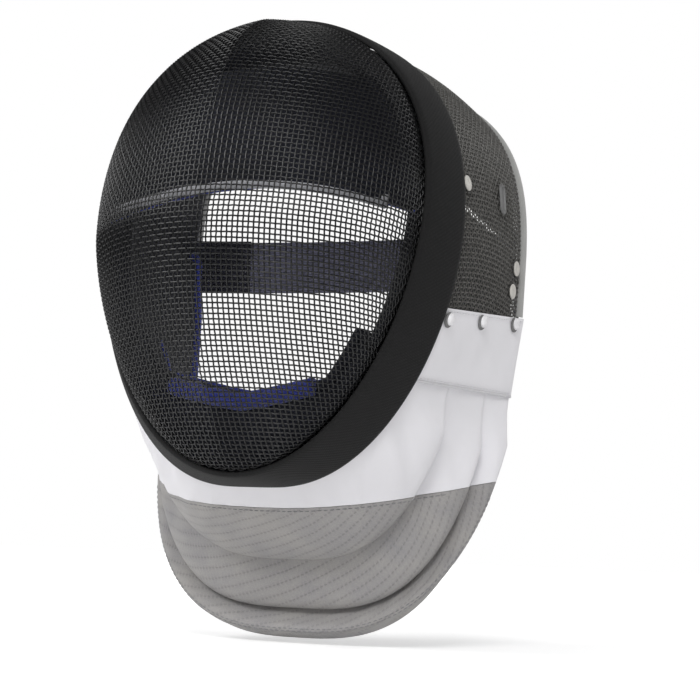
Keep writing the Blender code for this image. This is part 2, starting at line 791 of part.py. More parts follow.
def face_clearance(point):
    """Distance from a point inside the mask to the outer face of the woven front."""
    place = point - RIM_CENTRE
    x, up = place.x, place.dot(RIM_UP)
    depth = face_depth(x, up)
    step = 1e-4
    slope_x = (face_depth(x + step, up) - depth) / step
    slope_up = (face_depth(x, up + step) - depth) / step
    return (depth + place.dot(RIM_BACK)) / math.sqrt(1 + slope_x ** 2 + slope_up ** 2)


def chin_pad():
    """Pad round the jaw, standing on the face's skirt and the bib's tucked edge."""
    sections = []
    turn = math.pi - CHIN_PAD_ANGLE
    rear = CHIN_PAD_FRONT + CHIN_PAD_DEPTH
    under_skirt = -TRIM_WALL / 2 - GAP - SHEET - PAD_GAP
    for k in range(CHIN_PAD_STEPS + 1):
        angle = math.pi + mix(-turn, turn, k / CHIN_PAD_STEPS)
        x, up = rim_outline(angle)
        top = -CHIN_PAD_TOP + CHIN_PAD_ARCH * (abs(x) / CHIN_PAD_HALF_WIDTH) ** CHIN_PAD_ARCH_POWER
        front_low = rim_point(angle, under_skirt, CHIN_PAD_FRONT)
        middle_low = rim_point(angle, under_skirt, TUCK + GAP)
        rear_low = inside_trim(angle, rear, BIB_WALL + 2 * PAD_GAP)
        highs = []
        for back, lift in ((CHIN_PAD_FRONT, -CHIN_PAD_SLOPE / 2), (rear, CHIN_PAD_SLOPE / 2)):
            height = max(top + lift, up + CHIN_PAD_HEIGHT)
            across = Vector((x * CHIN_PAD_NARROWING, 0.0, 0.0))
            highs.append(RIM_CENTRE + across + RIM_UP * height + RIM_BACK * back)
        front_high, rear_high = highs
        sections.append([
            front_low, front_low.lerp(front_high, 0.5), front_high,
            front_high.lerp(rear_high, 0.5) + RIM_UP * CHIN_PAD_CROWN,
            rear_high, rear_low.lerp(rear_high, 0.5), rear_low, middle_low,
        ])
    add_object("chin_pad", loop_mesh(sections, False), "navy_pad", SHARP_PAD)


# Fittings

def wall_frame(angle, share, depth):
    """Place on the wall with its outward, backward and upward directions."""
    step = 0.02
    place = crown_point(angle, share, depth)
    back = crown_point(angle, share + step, depth) - crown_point(angle, share - step, depth)
    turn = math.copysign(step, angle)
    up = crown_point(angle - turn, share, depth) - crown_point(angle + turn, share, depth)
    outward = back.cross(up).normalized()
    if outward.x * angle < 0:
        outward = -outward
    back.normalize()
    return place, outward, back, back.cross(outward).normalized()


def button(name, frame, radius, height, material, profile):
    """Round fitting that lies on the wall."""
    place, outward, back, up = frame
    bm = bmesh.new()
    rings = []
    for share, lift in profile:
        ring = []
        for k in range(BUTTON_SIDES):
            turn = 2 * math.pi * k / BUTTON_SIDES
            spoke = back * math.cos(turn) + up * math.sin(turn)
            ring.append(bm.verts.new(place + spoke * radius * share + outward * height * lift))
        rings.append(ring)
    bm.faces.new(rings[0])
    bm.faces.new(rings[-1])
    for first, second in zip(rings, rings[1:]):
        for k in range(BUTTON_SIDES):
            n = (k + 1) % BUTTON_SIDES
            bm.faces.new((first[k], first[n], second[n], second[k]))
    add_object(name, bm, material, SHARP_FITTING)


def slot_plate(side):
    """Long plate that covers the slot where the strap's tab is held."""
    place, outward, back, up = wall_frame(side * PLATE_ANGLE, PLATE_SHARE, -2 * GAP)
    outline = []
    straight = PLATE_LENGTH / 2 - PLATE_WIDTH / 2
    for end in (1, -1):
        for k in range(PLATE_SIDES + 1):
            turn = math.pi * k / PLATE_SIDES
            x = end * math.cos(turn) * PLATE_WIDTH / 2
            z = end * (straight + math.sin(turn) * PLATE_WIDTH / 2)
            outline.append(back * x + up * z)
    bm = bmesh.new()
    low = [bm.verts.new(place + point) for point in outline]
    top = [bm.verts.new(place + point * PLATE_TAPER + outward * PLATE_WALL) for point in outline]
    bm.faces.new(low)
    bm.faces.new(top)
    for k in range(len(outline)):
        n = (k + 1) % len(outline)
        bm.faces.new((low[k], low[n], top[n], top[k]))
    add_object(f"slot_plate_{side_name(side)}", bm, "grey_plastic", SHARP_FITTING)


def fittings(side):
    for name, degrees, share in SIDE_DISCS:
        frame = wall_frame(side * math.radians(degrees), share, -2 * GAP)
        button(f"disc_{name}_{side_name(side)}", frame, DISC_RADIUS, DISC_HEIGHT,
               "pale_plastic", DISC_PROFILE)
    for name, fall, share in BAND_RIVETS:
        angle = side * mix(BAND_ANGLE, SEAM_ANGLE, fall)
        frame = wall_frame(angle, share, -2 * GAP - BAND_WALL)
        button(f"rivet_{name}_{side_name(side)}", frame, RIVET_RADIUS, RIVET_HEIGHT,
               "white_plastic", DOME_PROFILE)
    slot_plate(side)


def main():
    for obj in list(bpy.data.objects):
        bpy.data.objects.remove(obj, do_unlink=True)
    rim_trim()
    front_mesh()
    back_mesh()
    back_binding()
    bib_part("bib_white", 1.0, "white_cloth")
    bib_part("bib_lame", -1.0, "grey_lame")
    strap()
    crown_pad()
    brow_pad()
    chin_pad()
    for side in (1, -1):
        bib_band(side)
        side_pad(side)
        fittings(side)


main()
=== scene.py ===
"""Looks of the fencing mask: woven wire, padded trim, lining, strap, fittings and pleated bib."""

import math

import bmesh
import bpy
import numpy as np
from bpy.props import FloatProperty, FloatVectorProperty, IntProperty, PointerProperty
from mathutils import Matrix, Vector
from mathutils.bvhtree import BVHTree


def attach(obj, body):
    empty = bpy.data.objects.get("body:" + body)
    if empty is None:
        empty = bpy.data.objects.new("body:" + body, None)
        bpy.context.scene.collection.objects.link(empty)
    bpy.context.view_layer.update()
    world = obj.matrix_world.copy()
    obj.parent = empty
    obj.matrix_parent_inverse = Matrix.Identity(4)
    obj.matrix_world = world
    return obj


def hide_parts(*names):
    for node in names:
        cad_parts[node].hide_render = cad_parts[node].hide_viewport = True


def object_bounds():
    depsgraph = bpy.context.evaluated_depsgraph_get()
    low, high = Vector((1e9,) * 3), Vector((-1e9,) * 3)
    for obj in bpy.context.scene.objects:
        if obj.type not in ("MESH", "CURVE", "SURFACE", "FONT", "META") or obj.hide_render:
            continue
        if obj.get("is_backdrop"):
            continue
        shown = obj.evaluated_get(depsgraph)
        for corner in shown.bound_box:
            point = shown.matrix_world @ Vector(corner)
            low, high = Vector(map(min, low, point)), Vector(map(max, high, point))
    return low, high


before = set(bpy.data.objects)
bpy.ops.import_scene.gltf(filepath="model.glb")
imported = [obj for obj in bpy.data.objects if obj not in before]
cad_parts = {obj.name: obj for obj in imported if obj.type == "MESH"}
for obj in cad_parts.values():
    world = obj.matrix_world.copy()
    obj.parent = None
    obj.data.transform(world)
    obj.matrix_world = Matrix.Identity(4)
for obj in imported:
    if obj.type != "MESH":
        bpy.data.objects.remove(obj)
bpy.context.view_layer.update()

bl_info = {
    "name": "Fencing mask looks",
    "version": (1, 0, 0),
    "blender": (4, 5, 0),
    "location": "View3D > Sidebar > Fencing mask",
    "description": "Builds the woven wire, cloth, lining and fittings of a fencing mask",
    "category": "Object",
}

# Shape of the mask, in metres, as in the solid model
RIM_HEIGHT = 0.285
RIM_HALF_WIDTH = 0.107
RIM_EGG = 0.13
RIM_SQUARE = 0.02
RIM_TILT = math.radians(9.1)
TRIM_DEPTH = 0.0315
TRIM_WALL = 0.003
TRIM_FLARE = 0.0130
TRIM_FLARE_LOW = 0.0028
TRIM_FLARE_EASE = 0.25
TUCK = 0.007
TUCK_GAP = 0.0007
SHEET = 0.002
FACE_DEPTH = 0.0785
FACE_PEAK = -0.05
FACE_BROW_POWER = 3.0
FACE_BROW_ROOT = 1.75
FACE_CHIN_POWER = 1.62
FACE_CHIN_ROOT = 1.33
CROWN_HALF_WIDTH = 0.1195
CROWN_REACH = 0.150
CROWN_NAPE_REACH = 0.184
CROWN_EDGE_LEAN = 0.004
CROWN_BULGE = 0.011
CROWN_SIDE_BULGE = 0.001
CROWN_BULGE_FADE = 6
ARCH_TOP = 0.122
ARCH_SPRING = 0.0115
ARCH_SPRING_ANGLE = math.radians(75.0)
ARCH_SQUARE = 2.7
ARCH_SWEEP = 1.6
EDGE_WIDTH = 0.009
EDGE_THICKNESS = 0.0045
BAND_ANGLE = math.radians(102.5)
SEAM_ANGLE = math.radians(120.5)
BAND_RISE = 0.008
BAND_WALL = 0.0022
BAND_OVERLAP = math.radians(5.5)
SEAM_HALF_WIDTH = 0.117
SEAM_REACH = 0.132
BIB_WALL = 0.0040
BIB_DROP = 0.156
CLOTH_JOIN_DROP = 0.0765
CLOTH_JOIN_RISE = 0.15
CLOTH_JOIN_CURVE = 0.0095
STATION = BAND_ANGLE / 16

# Section power of the face by share of the rim's half height
FACE_CREASE = (
    (-1.00, 1.12), (-0.70, 1.22), (-0.40, 1.60), (-0.05, 1.90),
    (0.35, 1.50), (0.70, 1.22), (1.00, 1.12),
)

# Bib folds: share along the seam, front reach, drop, squareness, narrowing
BIB_FOLDS = (
    (0.363, 0.482, 0.659, 3.4, 0.309),
    (0.743, 0.621, 0.867, 3.4, 0.183),
    (1.000, 0.578, 0.999, 2.9, 0.071),
)

# Side fittings: name, rim angle in degrees, share of the way back
SIDE_DISCS = (("front", 71.5, 0.085), ("rear", 84.0, 0.830), ("low", 93.0, 0.800))
BAND_RIVETS = (("front", 0.145, 0.050), ("middle", 0.115, 0.430), ("rear", 0.090, 0.845))
PLATE_ANGLE = math.radians(69.0)
PLATE_SHARE = 0.590

# Gaps between pieces
CLEARANCE = 0.0003
FITTING_LIFT = 0.0006

# Angle in degrees past which an edge is shaded sharp
ROUND = 180.0
SOFT = 60.0
CLOTH = 55.0
PLAIN = 50.0
CRISP = 35.0

HALF_HEIGHT = RIM_HEIGHT / 2
RIM_CENTRE = Vector((0.0, -0.095, -0.130))
RIM_UP = Vector((0.0, math.sin(RIM_TILT), math.cos(RIM_TILT)))
RIM_BACK = Vector((0.0, math.cos(RIM_TILT), -math.sin(RIM_TILT)))

# Camera, in the row frame
LOOK_AZIMUTH = math.radians(23.5)
LOOK_ELEVATION = math.radians(-5.8)
LOOK_ROLL = math.radians(2.2)
LOOK_DISTANCE = 1.150
LOOK_SHIFT_ACROSS = 0.0579
LOOK_SHIFT_UP = -0.0630
FOCAL_PIXELS = 1915
PICTURE_PIXELS = 700
SENSOR_WIDTH = 36.0
CAMERA_NEAR = 0.05


def mix(a, b, share):
    return a + (b - a) * share


def ease(x):
    x = min(1.0, max(0.0, x))
    return x * x * (3 - 2 * x)


def sign_power(value, exponent):
    return math.copysign(abs(value) ** exponent, value)


# Surfaces of the mask

def rim_outline(angle):
    """Sideways and upward place of the egg outline, with angle 0 at the top."""
    egg = 1 + RIM_EGG * math.cos(angle) + RIM_SQUARE * math.cos(2 * angle)
    return RIM_HALF_WIDTH * math.sin(angle) * egg, HALF_HEIGHT * math.cos(angle)


def rim_outward(angle):
    step = 1e-4
    x0, z0 = rim_outline(angle - step)
    x1, z1 = rim_outline(angle + step)
    length = math.hypot(x1 - x0, z1 - z0)
    return (z0 - z1) / length, (x1 - x0) / length


def rim_point(angle, outward, back):
    """Point beside the rim: outward from the outline and back along the head."""
    x, up = rim_outline(angle)
    nx, nup = rim_outward(angle)
    place = RIM_CENTRE + Vector((x + nx * outward, 0.0, 0.0))
    return place + RIM_UP * (up + nup * outward) + RIM_BACK * back


def trim_flare(angle):
    widest = TRIM_FLARE - TRIM_FLARE_LOW * math.cos(angle)
    square = math.sin(angle) ** 2
    return widest * square * (1 + TRIM_FLARE_EASE) / (square + TRIM_FLARE_EASE)


def inside_trim(angle, back, depth):
    """Point a given depth under the trim's inner face."""
    offset = trim_flare(angle) * back / TRIM_DEPTH - TRIM_WALL / 2 - TUCK_GAP - depth
    return rim_point(angle, offset, back)


def crease_power(share):
    for (low, first), (high, second) in zip(FACE_CREASE, FACE_CREASE[1:]):
        if share <= high:
            return mix(first, second, max(0.0, (share - low) / (high - low)))
    return FACE_CREASE[-1][1]


def face_profile(share):
    if share > FACE_PEAK:
        fall = min(1.0, (share - FACE_PEAK) / (1 - FACE_PEAK))
        return FACE_DEPTH * (1 - fall ** FACE_BROW_POWER) ** (1 / FACE_BROW_ROOT)
    fall = min(1.0, (FACE_PEAK - share) / (1 + FACE_PEAK))
    return FACE_DEPTH * (1 - fall ** FACE_CHIN_POWER) ** (1 / FACE_CHIN_ROOT)


def face_depth(x, up):
    """How far the woven face stands out of the rim plane."""
    share = max(-1.0, min(1.0, up / HALF_HEIGHT))
    width = rim_outline(math.acos(share))[0]
    if width < 1e-6:
        return 0.0
    side = min(1.0, abs(x) / width)
    return face_profile(share) * math.sqrt(max(0.0, 1 - side ** crease_power(share)))


def face_point(angle, share, inset):
    """Point on the woven face: share 0 at its middle, 1 on the rim, inset under the trim."""
    x, up = rim_outline(angle)
    nx, nup = rim_outward(angle)
    middle = FACE_PEAK * HALF_HEIGHT
    depth = face_depth(x * share, mix(middle, up, share))
    place = RIM_CENTRE + Vector(((x - nx * inset) * share, 0.0, 0.0))
    return place + RIM_UP * mix(middle, up - nup * inset, share) - RIM_BACK * depth


def seat_height(angle):
    return inside_trim(angle, TRIM_DEPTH, 0.0).z - RIM_CENTRE.z


def back_edge(angle):
    """Point on the mask's back edge that lies level with a rim angle."""
    side = math.copysign(1.0, angle)
    turn = abs(angle)
    if turn <= ARCH_SPRING_ANGLE:
        lean = math.pi / 2 * turn / ARCH_SPRING_ANGLE
        across = math.sin(lean) ** (2 / ARCH_SQUARE)
        x = CROWN_HALF_WIDTH * across
        z = ARCH_SPRING + (ARCH_TOP - ARCH_SPRING) * max(0.0, math.cos(lean)) ** (2 / ARCH_SQUARE)
        y = mix(CROWN_REACH, CROWN_NAPE_REACH, (1 - across ** 2) ** ARCH_SWEEP)
    elif turn <= BAND_ANGLE:
        share = (turn - ARCH_SPRING_ANGLE) / (BAND_ANGLE - ARCH_SPRING_ANGLE)
        x = CROWN_HALF_WIDTH
        z = mix(ARCH_SPRING, seat_height(BAND_ANGLE) + BAND_RISE, share)
        y = CROWN_REACH - CROWN_EDGE_LEAN * share
    else:
        share = (turn - BAND_ANGLE) / (SEAM_ANGLE - BAND_ANGLE)
        x = mix(CROWN_HALF_WIDTH, SEAM_HALF_WIDTH, share)
        z = mix(seat_height(BAND_ANGLE) + BAND_RISE, seat_height(SEAM_ANGLE), share)
        y = mix(CROWN_REACH - CROWN_EDGE_LEAN, SEAM_REACH, share)
    return RIM_CENTRE + Vector((side * x, y, z))


def crown_bulge(angle):
    turn = abs(angle)
    if turn < math.pi / 2:
        return mix(CROWN_SIDE_BULGE, CROWN_BULGE, math.cos(turn) ** CROWN_BULGE_FADE)
    return CROWN_SIDE_BULGE * max(0.0, 1 - (turn - math.pi / 2) / (SEAM_ANGLE - math.pi / 2))


def crown_point(angle, share, depth=0.0):
    """Point on the crown's outer face: share 0 at the trim, 1 at the back edge."""
    nx, nup = rim_outward(angle)
    outward = Vector((nx, 0.0, nup)).normalized()
    place = inside_trim(angle, TRIM_DEPTH, 0.0).lerp(back_edge(angle), share)
    return place + outward * (4 * share * (1 - share) * crown_bulge(angle) - depth)


def crown_length(angle):
    return (back_edge(angle) - inside_trim(angle, TRIM_DEPTH, 0.0)).length


def bib_line(row, turn):
    """Point on one fold line; turn runs from -90 degrees at one seam to 90 at the other."""
    share, front_reach, drop, square, narrow = row
    start = inside_trim(SEAM_ANGLE, TRIM_DEPTH, 0.0)
    seam = start.lerp(back_edge(SEAM_ANGLE), share) - RIM_CENTRE
    across = sign_power(math.sin(turn), 2 / square)
    fall = abs(math.cos(turn)) ** (2 / square)
    z = seam.z - BIB_DROP * drop * fall
    y = mix(seam.y, SEAM_REACH * front_reach, fall)
    return RIM_CENTRE + Vector((seam.x * across * (1 - narrow * fall), y, z))


def bib_start(turn, back, depth):
    """Point where the bib leaves the trim."""
    angle = math.copysign(math.pi - (math.pi - SEAM_ANGLE) * abs(turn) / (math.pi / 2), turn)
    return inside_trim(angle, back, depth)


# Mesh helpers

def add_piece(name, verts, faces, material, nodes=(), smooth=PLAIN):
    """Make a mesh object that rides on the mask and stands for solid nodes."""
    mesh = bpy.data.meshes.new(name)
    mesh.from_pydata([tuple(v) for v in verts], [], faces)
    mesh.validate()
    return finish_piece(name, mesh, material, nodes, smooth)


def finish_piece(name, mesh, material, nodes, smooth):
    mesh.shade_smooth()
    if smooth < ROUND:
        mesh.set_sharp_from_angle(angle=math.radians(smooth))
    mesh.materials.append(material)
    piece = bpy.data.objects.new(name, mesh)
    bpy.context.scene.collection.objects.link(piece)
    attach(piece, "root")
    if nodes:
        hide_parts(*nodes)
    return piece


def store(piece, name, values):
    """Keep a number for each vertex that a material reads, such as a length along the cloth."""
    layer = piece.data.attributes.new(name, "FLOAT", "POINT")
    layer.data.foreach_set("value", np.asarray(values, np.float32))


class Patch:
    """Vertices and faces gathered for one joined mesh."""

    def __init__(self):
        self.verts, self.faces, self.along, self.across = [], [], [], []

    def add(self, points, along=0.0, across=0.0):
        first = len(self.verts)
        self.verts.extend(points)
        count = len(points)
        self.along.extend([along] * count if np.isscalar(along) else along)
        self.across.extend([across] * count if np.isscalar(across) else across)
        return first

    def tube(self, points, normals, radius, sides, height=None):
        """Round or flat tube along points, turned to the surface normals."""
        height = radius if height is None else height
        count = len(points)
        runs = [0.0]
        for a, b in zip(points, points[1:]):
            runs.append(runs[-1] + (b - a).length)
        first = len(self.verts)
        for k, (point, normal) in enumerate(zip(points, normals)):
            ahead, behind = points[min(k + 1, count - 1)], points[max(k - 1, 0)]
            tangent = (ahead - behind).normalized()
            side = tangent.cross(normal).normalized()
            lift = side.cross(tangent)
            ring = []
            for s in range(sides):
                turn = 2 * math.pi * s / sides
                ring.append(point + side * (math.cos(turn) * radius)
                            + lift * (math.sin(turn) * height))
            self.add(ring, runs[k], [s / sides for s in range(sides)])
        self.loft(first, count, sides)

    def loft(self, first, rings, size, closed=False):
        """Faces between rings of points added in order, with end caps unless it is closed."""
        for k in range(rings if closed else rings - 1):
            base, after = first + k * size, first + (k + 1) % rings * size
            for s in range(size):
                n = (s + 1) % size
                self.faces.append((base + s, base + n, after + n, after + s))
        if not closed:
            self.faces.append(tuple(first + s for s in reversed(range(size))))
            self.faces.append(tuple(first + (rings - 1) * size + s for s in range(size)))

    def shell(self, outer, inner, along=None, across=None):
        """Closed body between two grids of points that face each other."""
        rows, cols = len(outer), len(outer[0])
        flat = [p for row in outer for p in row] + [p for row in inner for p in row]
        first = self.add(flat)
        if along is not None:
            size = rows * cols
            self.along[first:first + 2 * size] = list(np.ravel(along)) * 2
            self.across[first:first + 2 * size] = list(np.ravel(across)) * 2
        low = first + rows * cols
        for i in range(rows - 1):
            for j in range(cols - 1):
                a = i * cols + j
                quad = (a, a + 1, a + cols + 1, a + cols)
                self.faces.append(tuple(first + q for q in quad))
                self.faces.append(tuple(low + q for q in reversed(quad)))
        border = [j for j in range(cols)]
        border += [i * cols + cols - 1 for i in range(1, rows)]
        border += [(rows - 1) * cols + j for j in range(cols - 2, -1, -1)]
        border += [i * cols for i in range(rows - 2, 0, -1)]
        for a, b in zip(border, border[1:] + border[:1]):
            self.faces.append((first + a, low + a, low + b, first + b))

    def piece(self, name, material, nodes=(), slot=None, smooth=PLAIN):
        made = add_piece(name, self.verts, self.faces, material, nodes, smooth)
        if len(made.data.vertices) == len(self.along):
            store(made, "along", self.along)
            store(made, "across", self.across)
        bm = bmesh.new()
        bm.from_mesh(made.data)
        bmesh.ops.recalc_face_normals(bm, faces=bm.faces)
        bm.to_mesh(made.data)
        bm.free()
        return made


def grid_runs(grid):
    """Lengths along and across a grid of points, measured over its own surface."""
    rows, cols = len(grid), len(grid[0])
    along = np.zeros((rows, cols))
    across = np.zeros((rows, cols))
    for i in range(rows):
        for j in range(1, cols):
            across[i, j] = across[i, j - 1] + (grid[i][j] - grid[i][j - 1]).length
        across[i] -= across[i, cols // 2]
    for i in range(1, rows):
        for j in range(cols):
            along[i, j] = along[i - 1, j] + (grid[i][j] - grid[i - 1][j]).length
    return along, across


def grid_normals(grid, towards):
    """Unit normals of a grid of points that point away from a place."""
    rows, cols = len(grid), len(grid[0])
    normals = []
    for i in range(rows):
        line = []
        for j in range(cols):
            along = grid[min(i + 1, rows - 1)][j] - grid[max(i - 1, 0)][j]
            across = grid[i][min(j + 1, cols - 1)] - grid[i][max(j - 1, 0)]
            normal = along.cross(across).normalized()
            if normal.dot(grid[i][j] - towards) < 0:
                normal = -normal
            line.append(normal)
        normals.append(line)
    return normals


# Materials

class Shader:
    """Small helper for procedural node materials."""

    def __init__(self, name, colour, roughness, metallic=0.0, **extra):
        self.material = bpy.data.materials.new(name)
        self.material.use_nodes = True
        self.material.diffuse_color = (*colour[:3], 1.0)
        self.nodes = self.material.node_tree.nodes
        self.links = self.material.node_tree.links
        self.base = self.nodes["Principled BSDF"]
        self.base.inputs["Base Color"].default_value = (*colour[:3], 1.0)
        self.base.inputs["Roughness"].default_value = roughness
        self.base.inputs["Metallic"].default_value = metallic
        for key, value in extra.items():
            self.base.inputs[key.replace("_", " ")].default_value = value
        self.height = None

    def node(self, kind, values=(), **settings):
        made = self.nodes.new(kind)
        for key, value in settings.items():
            setattr(made, key, value)
        for socket, value in dict(values).items():
            made.inputs[socket].default_value = value
        return made

    def join(self, source, target):
        self.links.new(source, target)

    def cloth_run(self):
        """Vector of lengths along and across the piece, in metres."""
        along = self.node("ShaderNodeAttribute", attribute_name="along")
        across = self.node("ShaderNodeAttribute", attribute_name="across")
        both = self.node("ShaderNodeCombineXYZ")
        self.join(along.outputs["Fac"], both.inputs[0])
        self.join(across.outputs["Fac"], both.inputs[1])
        return both.outputs[0]

    def place(self):
        return self.node("ShaderNodeTexCoord").outputs["Object"]

    def math(self, operation, a, b=None, c=None):
        made = self.node("ShaderNodeMath", operation=operation)
        for k, value in enumerate((a, b, c)):
            if value is None:
                continue
            if isinstance(value, (int, float)):
                made.inputs[k].default_value = value
            else:
                self.join(value, made.inputs[k])
        return made.outputs[0]

    def parts(self, vector):
        made = self.node("ShaderNodeSeparateXYZ")
        self.join(vector, made.inputs[0])
        return made.outputs

    def noise(self, vector, scale, detail=3.0, roughness=0.5):
        made = self.node("ShaderNodeTexNoise", {"Scale": scale, "Detail": detail,
                                                "Roughness": roughness})
        self.join(vector, made.inputs["Vector"])
        return made.outputs["Fac"]

    def wave(self, value, pitch, phase=0.0):
        """Sine of a length, from -1 to 1, with a pitch in metres."""
        return self.math("SINE", self.math("MULTIPLY_ADD", value, 2 * math.pi / pitch, phase))

    def tint(self, factor, low, high, start=0.0, end=1.0):
        ramp = self.node("ShaderNodeValToRGB")
        ramp.color_ramp.elements[0].position = start
        ramp.color_ramp.elements[0].color = (*low, 1.0)
        ramp.color_ramp.elements[1].position = end
        ramp.color_ramp.elements[1].color = (*high, 1.0)
        self.join(factor, ramp.inputs[0])
        return ramp.outputs[0]

    def colour(self, socket):
        self.join(socket, self.base.inputs["Base Color"])

    def rough(self, factor, low, high):
        spread = self.math("MULTIPLY_ADD", factor, high - low, low)
        self.join(spread, self.base.inputs["Roughness"])

    def bump(self, height, distance):
        made = self.node("ShaderNodeBump", {"Distance": distance, "Strength": 1.0})
        self.join(height, made.inputs["Height"])
        if self.height is not None:
            self.join(self.height, made.inputs["Normal"])
        self.height = made.outputs[0]
        self.join(self.height, self.base.inputs["Normal"])

    def weave(self, vector, pitch, depth):
        """Plain weave: threads that pass over and under each other."""
        x, y, _ = self.parts(vector)
        warp = self.wave(x, pitch)
        weft = self.wave(y, pitch)
        cross = self.math("MULTIPLY", warp, weft)
        ribs = self.math("MAXIMUM", self.math("ABSOLUTE", warp), self.math("ABSOLUTE", weft))
        height = self.math("MULTIPLY_ADD", cross, 0.5, ribs)
        self.bump(height, depth)
        return height


def shade(colour, factor):
    return tuple(min(1.0, c * factor) for c in colour[:3])


def wire_material(name, colour, lift, roughness, metallic):
    """Lacquered steel wire with slightly uneven lacquer."""
    made = Shader(name, colour, roughness, metallic, Coat_Weight=0.16, Coat_Roughness=0.25)
    place = made.place()
    blotch = made.noise(place, 900.0, 4.0)
    made.colour(made.tint(blotch, shade(colour, 0.7), shade(colour, lift), 0.35, 0.75))
    made.rough(made.noise(place, 350.0), roughness * 0.8, roughness * 1.3)
    made.bump(made.noise(place, 2500.0, 2.0), 0.00003)
    return made.material


def trim_material(colour):
    """Black padded cloth with fine slanting ribs."""
    made = Shader("trim_cloth", colour, 0.85, Sheen_Weight=0.05, Sheen_Roughness=0.4)
    run = made.cloth_run()
    x, y, _ = made.parts(run)
    slant = made.math("MULTIPLY_ADD", y, 0.9, x)
    ribs = made.wave(slant, 0.0024)
    grain = made.noise(made.place(), 700.0, 4.0)
    made.colour(made.tint(made.math("MULTIPLY_ADD", ribs, 0.2, grain),
                          shade(colour, 0.75), shade(colour, 1.4), 0.15, 0.95))
    made.bump(ribs, 0.00005)
    made.bump(made.wave(y, 0.0009), 0.00005)
    made.bump(grain, 0.0001)
    return made.material


def cloth_material(name, colour, pitch, depth, sheen=0.2, grain_scale=60.0, contrast=0.06):
    """Woven cloth with a plain weave and soft colour variation."""
    made = Shader(name, colour, 0.82, Sheen_Weight=sheen, Sheen_Roughness=0.45)
    run = made.cloth_run()
    height = made.weave(run, pitch, depth)
    patch = made.noise(made.place(), grain_scale, 3.0)
    blend = made.math("MULTIPLY_ADD", height, 0.25, patch)
    made.colour(made.tint(blend, shade(colour, 1 - contrast * 2), shade(colour, 1 + contrast),
                          0.25, 0.95))
    made.bump(made.noise(made.place(), 1800.0, 2.0), 0.00004)
    return made.material


def lame_material(colour, warm):
    """Grey conductive cloth with rows of slanting dashed quilting."""
    made = Shader("bib_lame", colour, 0.60, 0.10, Sheen_Weight=0.15, Sheen_Roughness=0.4)
    run = made.cloth_run()
    along, across, _ = made.parts(run)
    height = made.weave(run, 0.0011, 0.00006)
    slope = math.radians(22.0)
    line = made.math("ADD", made.math("MULTIPLY", along, math.cos(slope)),
                     made.math("MULTIPLY", across, math.sin(slope)))
    run_on = made.math("SUBTRACT", made.math("MULTIPLY", across, math.cos(slope)),
                       made.math("MULTIPLY", along, math.sin(slope)))
    groove = made.math("POWER", made.math("ABSOLUTE", made.wave(line, 0.0124)), 0.12)
    dash = made.math("GREATER_THAN", made.wave(run_on, 0.0030), -0.35)
    seam = made.math("MULTIPLY", made.math("SUBTRACT", 1.0, groove), dash)
    patch = made.noise(made.place(), 38.0, 4.0)
    fleck = made.noise(made.place(), 1300.0, 2.0)
    blend = made.math("MULTIPLY_ADD", fleck, 0.5, made.math("MULTIPLY", patch, 0.5))
    ground = made.tint(blend, shade(colour, 0.80), shade(warm, 1.12), 0.25, 0.75)
    dark = made.node("ShaderNodeMix", data_type="RGBA")
    made.join(made.math("MULTIPLY", seam, 0.85), dark.inputs[0])
    made.join(ground, dark.inputs[6])
    dark.inputs[7].default_value = (*shade(colour, 0.22), 1.0)
    made.colour(dark.outputs[2])
    made.rough(fleck, 0.42, 0.7)
    made.bump(made.math("MULTIPLY", seam, -1.0), 0.0005)
    made.bump(made.math("MULTIPLY_ADD", height, 0.4, fleck), 0.00006)
    return made.material


def webbing_material(name, colour):
    """Elastic webbing with lengthwise ribs."""
    made = Shader(name, colour, 0.78, Sheen_Weight=0.3, Sheen_Roughness=0.4)
    run = made.cloth_run()
    x, y, _ = made.parts(run)
    ribs = made.wave(y, 0.0016)
    cross = made.wave(x, 0.0010)
    weave = made.math("MULTIPLY_ADD", cross, 0.3, ribs)
    grain = made.noise(made.place(), 500.0, 3.0)
    made.colour(made.tint(made.math("MULTIPLY_ADD", weave, 0.25, grain),
                          shade(colour, 0.6), shade(colour, 1.6), 0.1, 0.95))
    made.bump(weave, 0.00025)
    return made.material


def foam_material(name, colour, quilt):
    """Padding covered in short dark towelling."""
    made = Shader(name, colour, 0.9, Sheen_Weight=0.08, Sheen_Roughness=0.5)
    place = made.place()
    grain = made.noise(place, 900.0, 4.0, 0.6)
    patch = made.noise(place, 45.0, 3.0)
    blend = made.math("MULTIPLY_ADD", patch, 0.6, made.math("MULTIPLY", grain, 0.4))
    made.colour(made.tint(blend, shade(colour, 0.6), shade(colour, 1.7), 0.3, 0.7))
    made.bump(grain, 0.0004)
    made.bump(patch, quilt)
    return made.material


def plastic_material(name, colour, roughness):
    """Moulded plastic with faint mottling."""
    made = Shader(name, colour, roughness, Coat_Weight=0.1, Coat_Roughness=0.3)
    place = made.place()
    patch = made.noise(place, 260.0, 3.0)
    made.colour(made.tint(patch, shade(colour, 0.88), shade(colour, 1.06), 0.3, 0.7))
    made.rough(made.noise(place, 900.0), roughness * 0.8, roughness * 1.25)
    made.bump(made.noise(place, 1500.0, 2.0), 0.00003)
    return made.material


def thread_material(name, colour):
    made = Shader(name, colour, 0.7, Sheen_Weight=0.3, Sheen_Roughness=0.4)
    run = made.cloth_run()
    x, y, _ = made.parts(run)
    twist = made.wave(made.math("MULTIPLY_ADD", y, 0.0006, x), 0.0006)
    made.colour(made.tint(twist, shade(colour, 0.8), shade(colour, 1.1), -1.0, 1.0))
    made.bump(twist, 0.00006)
    return made.material


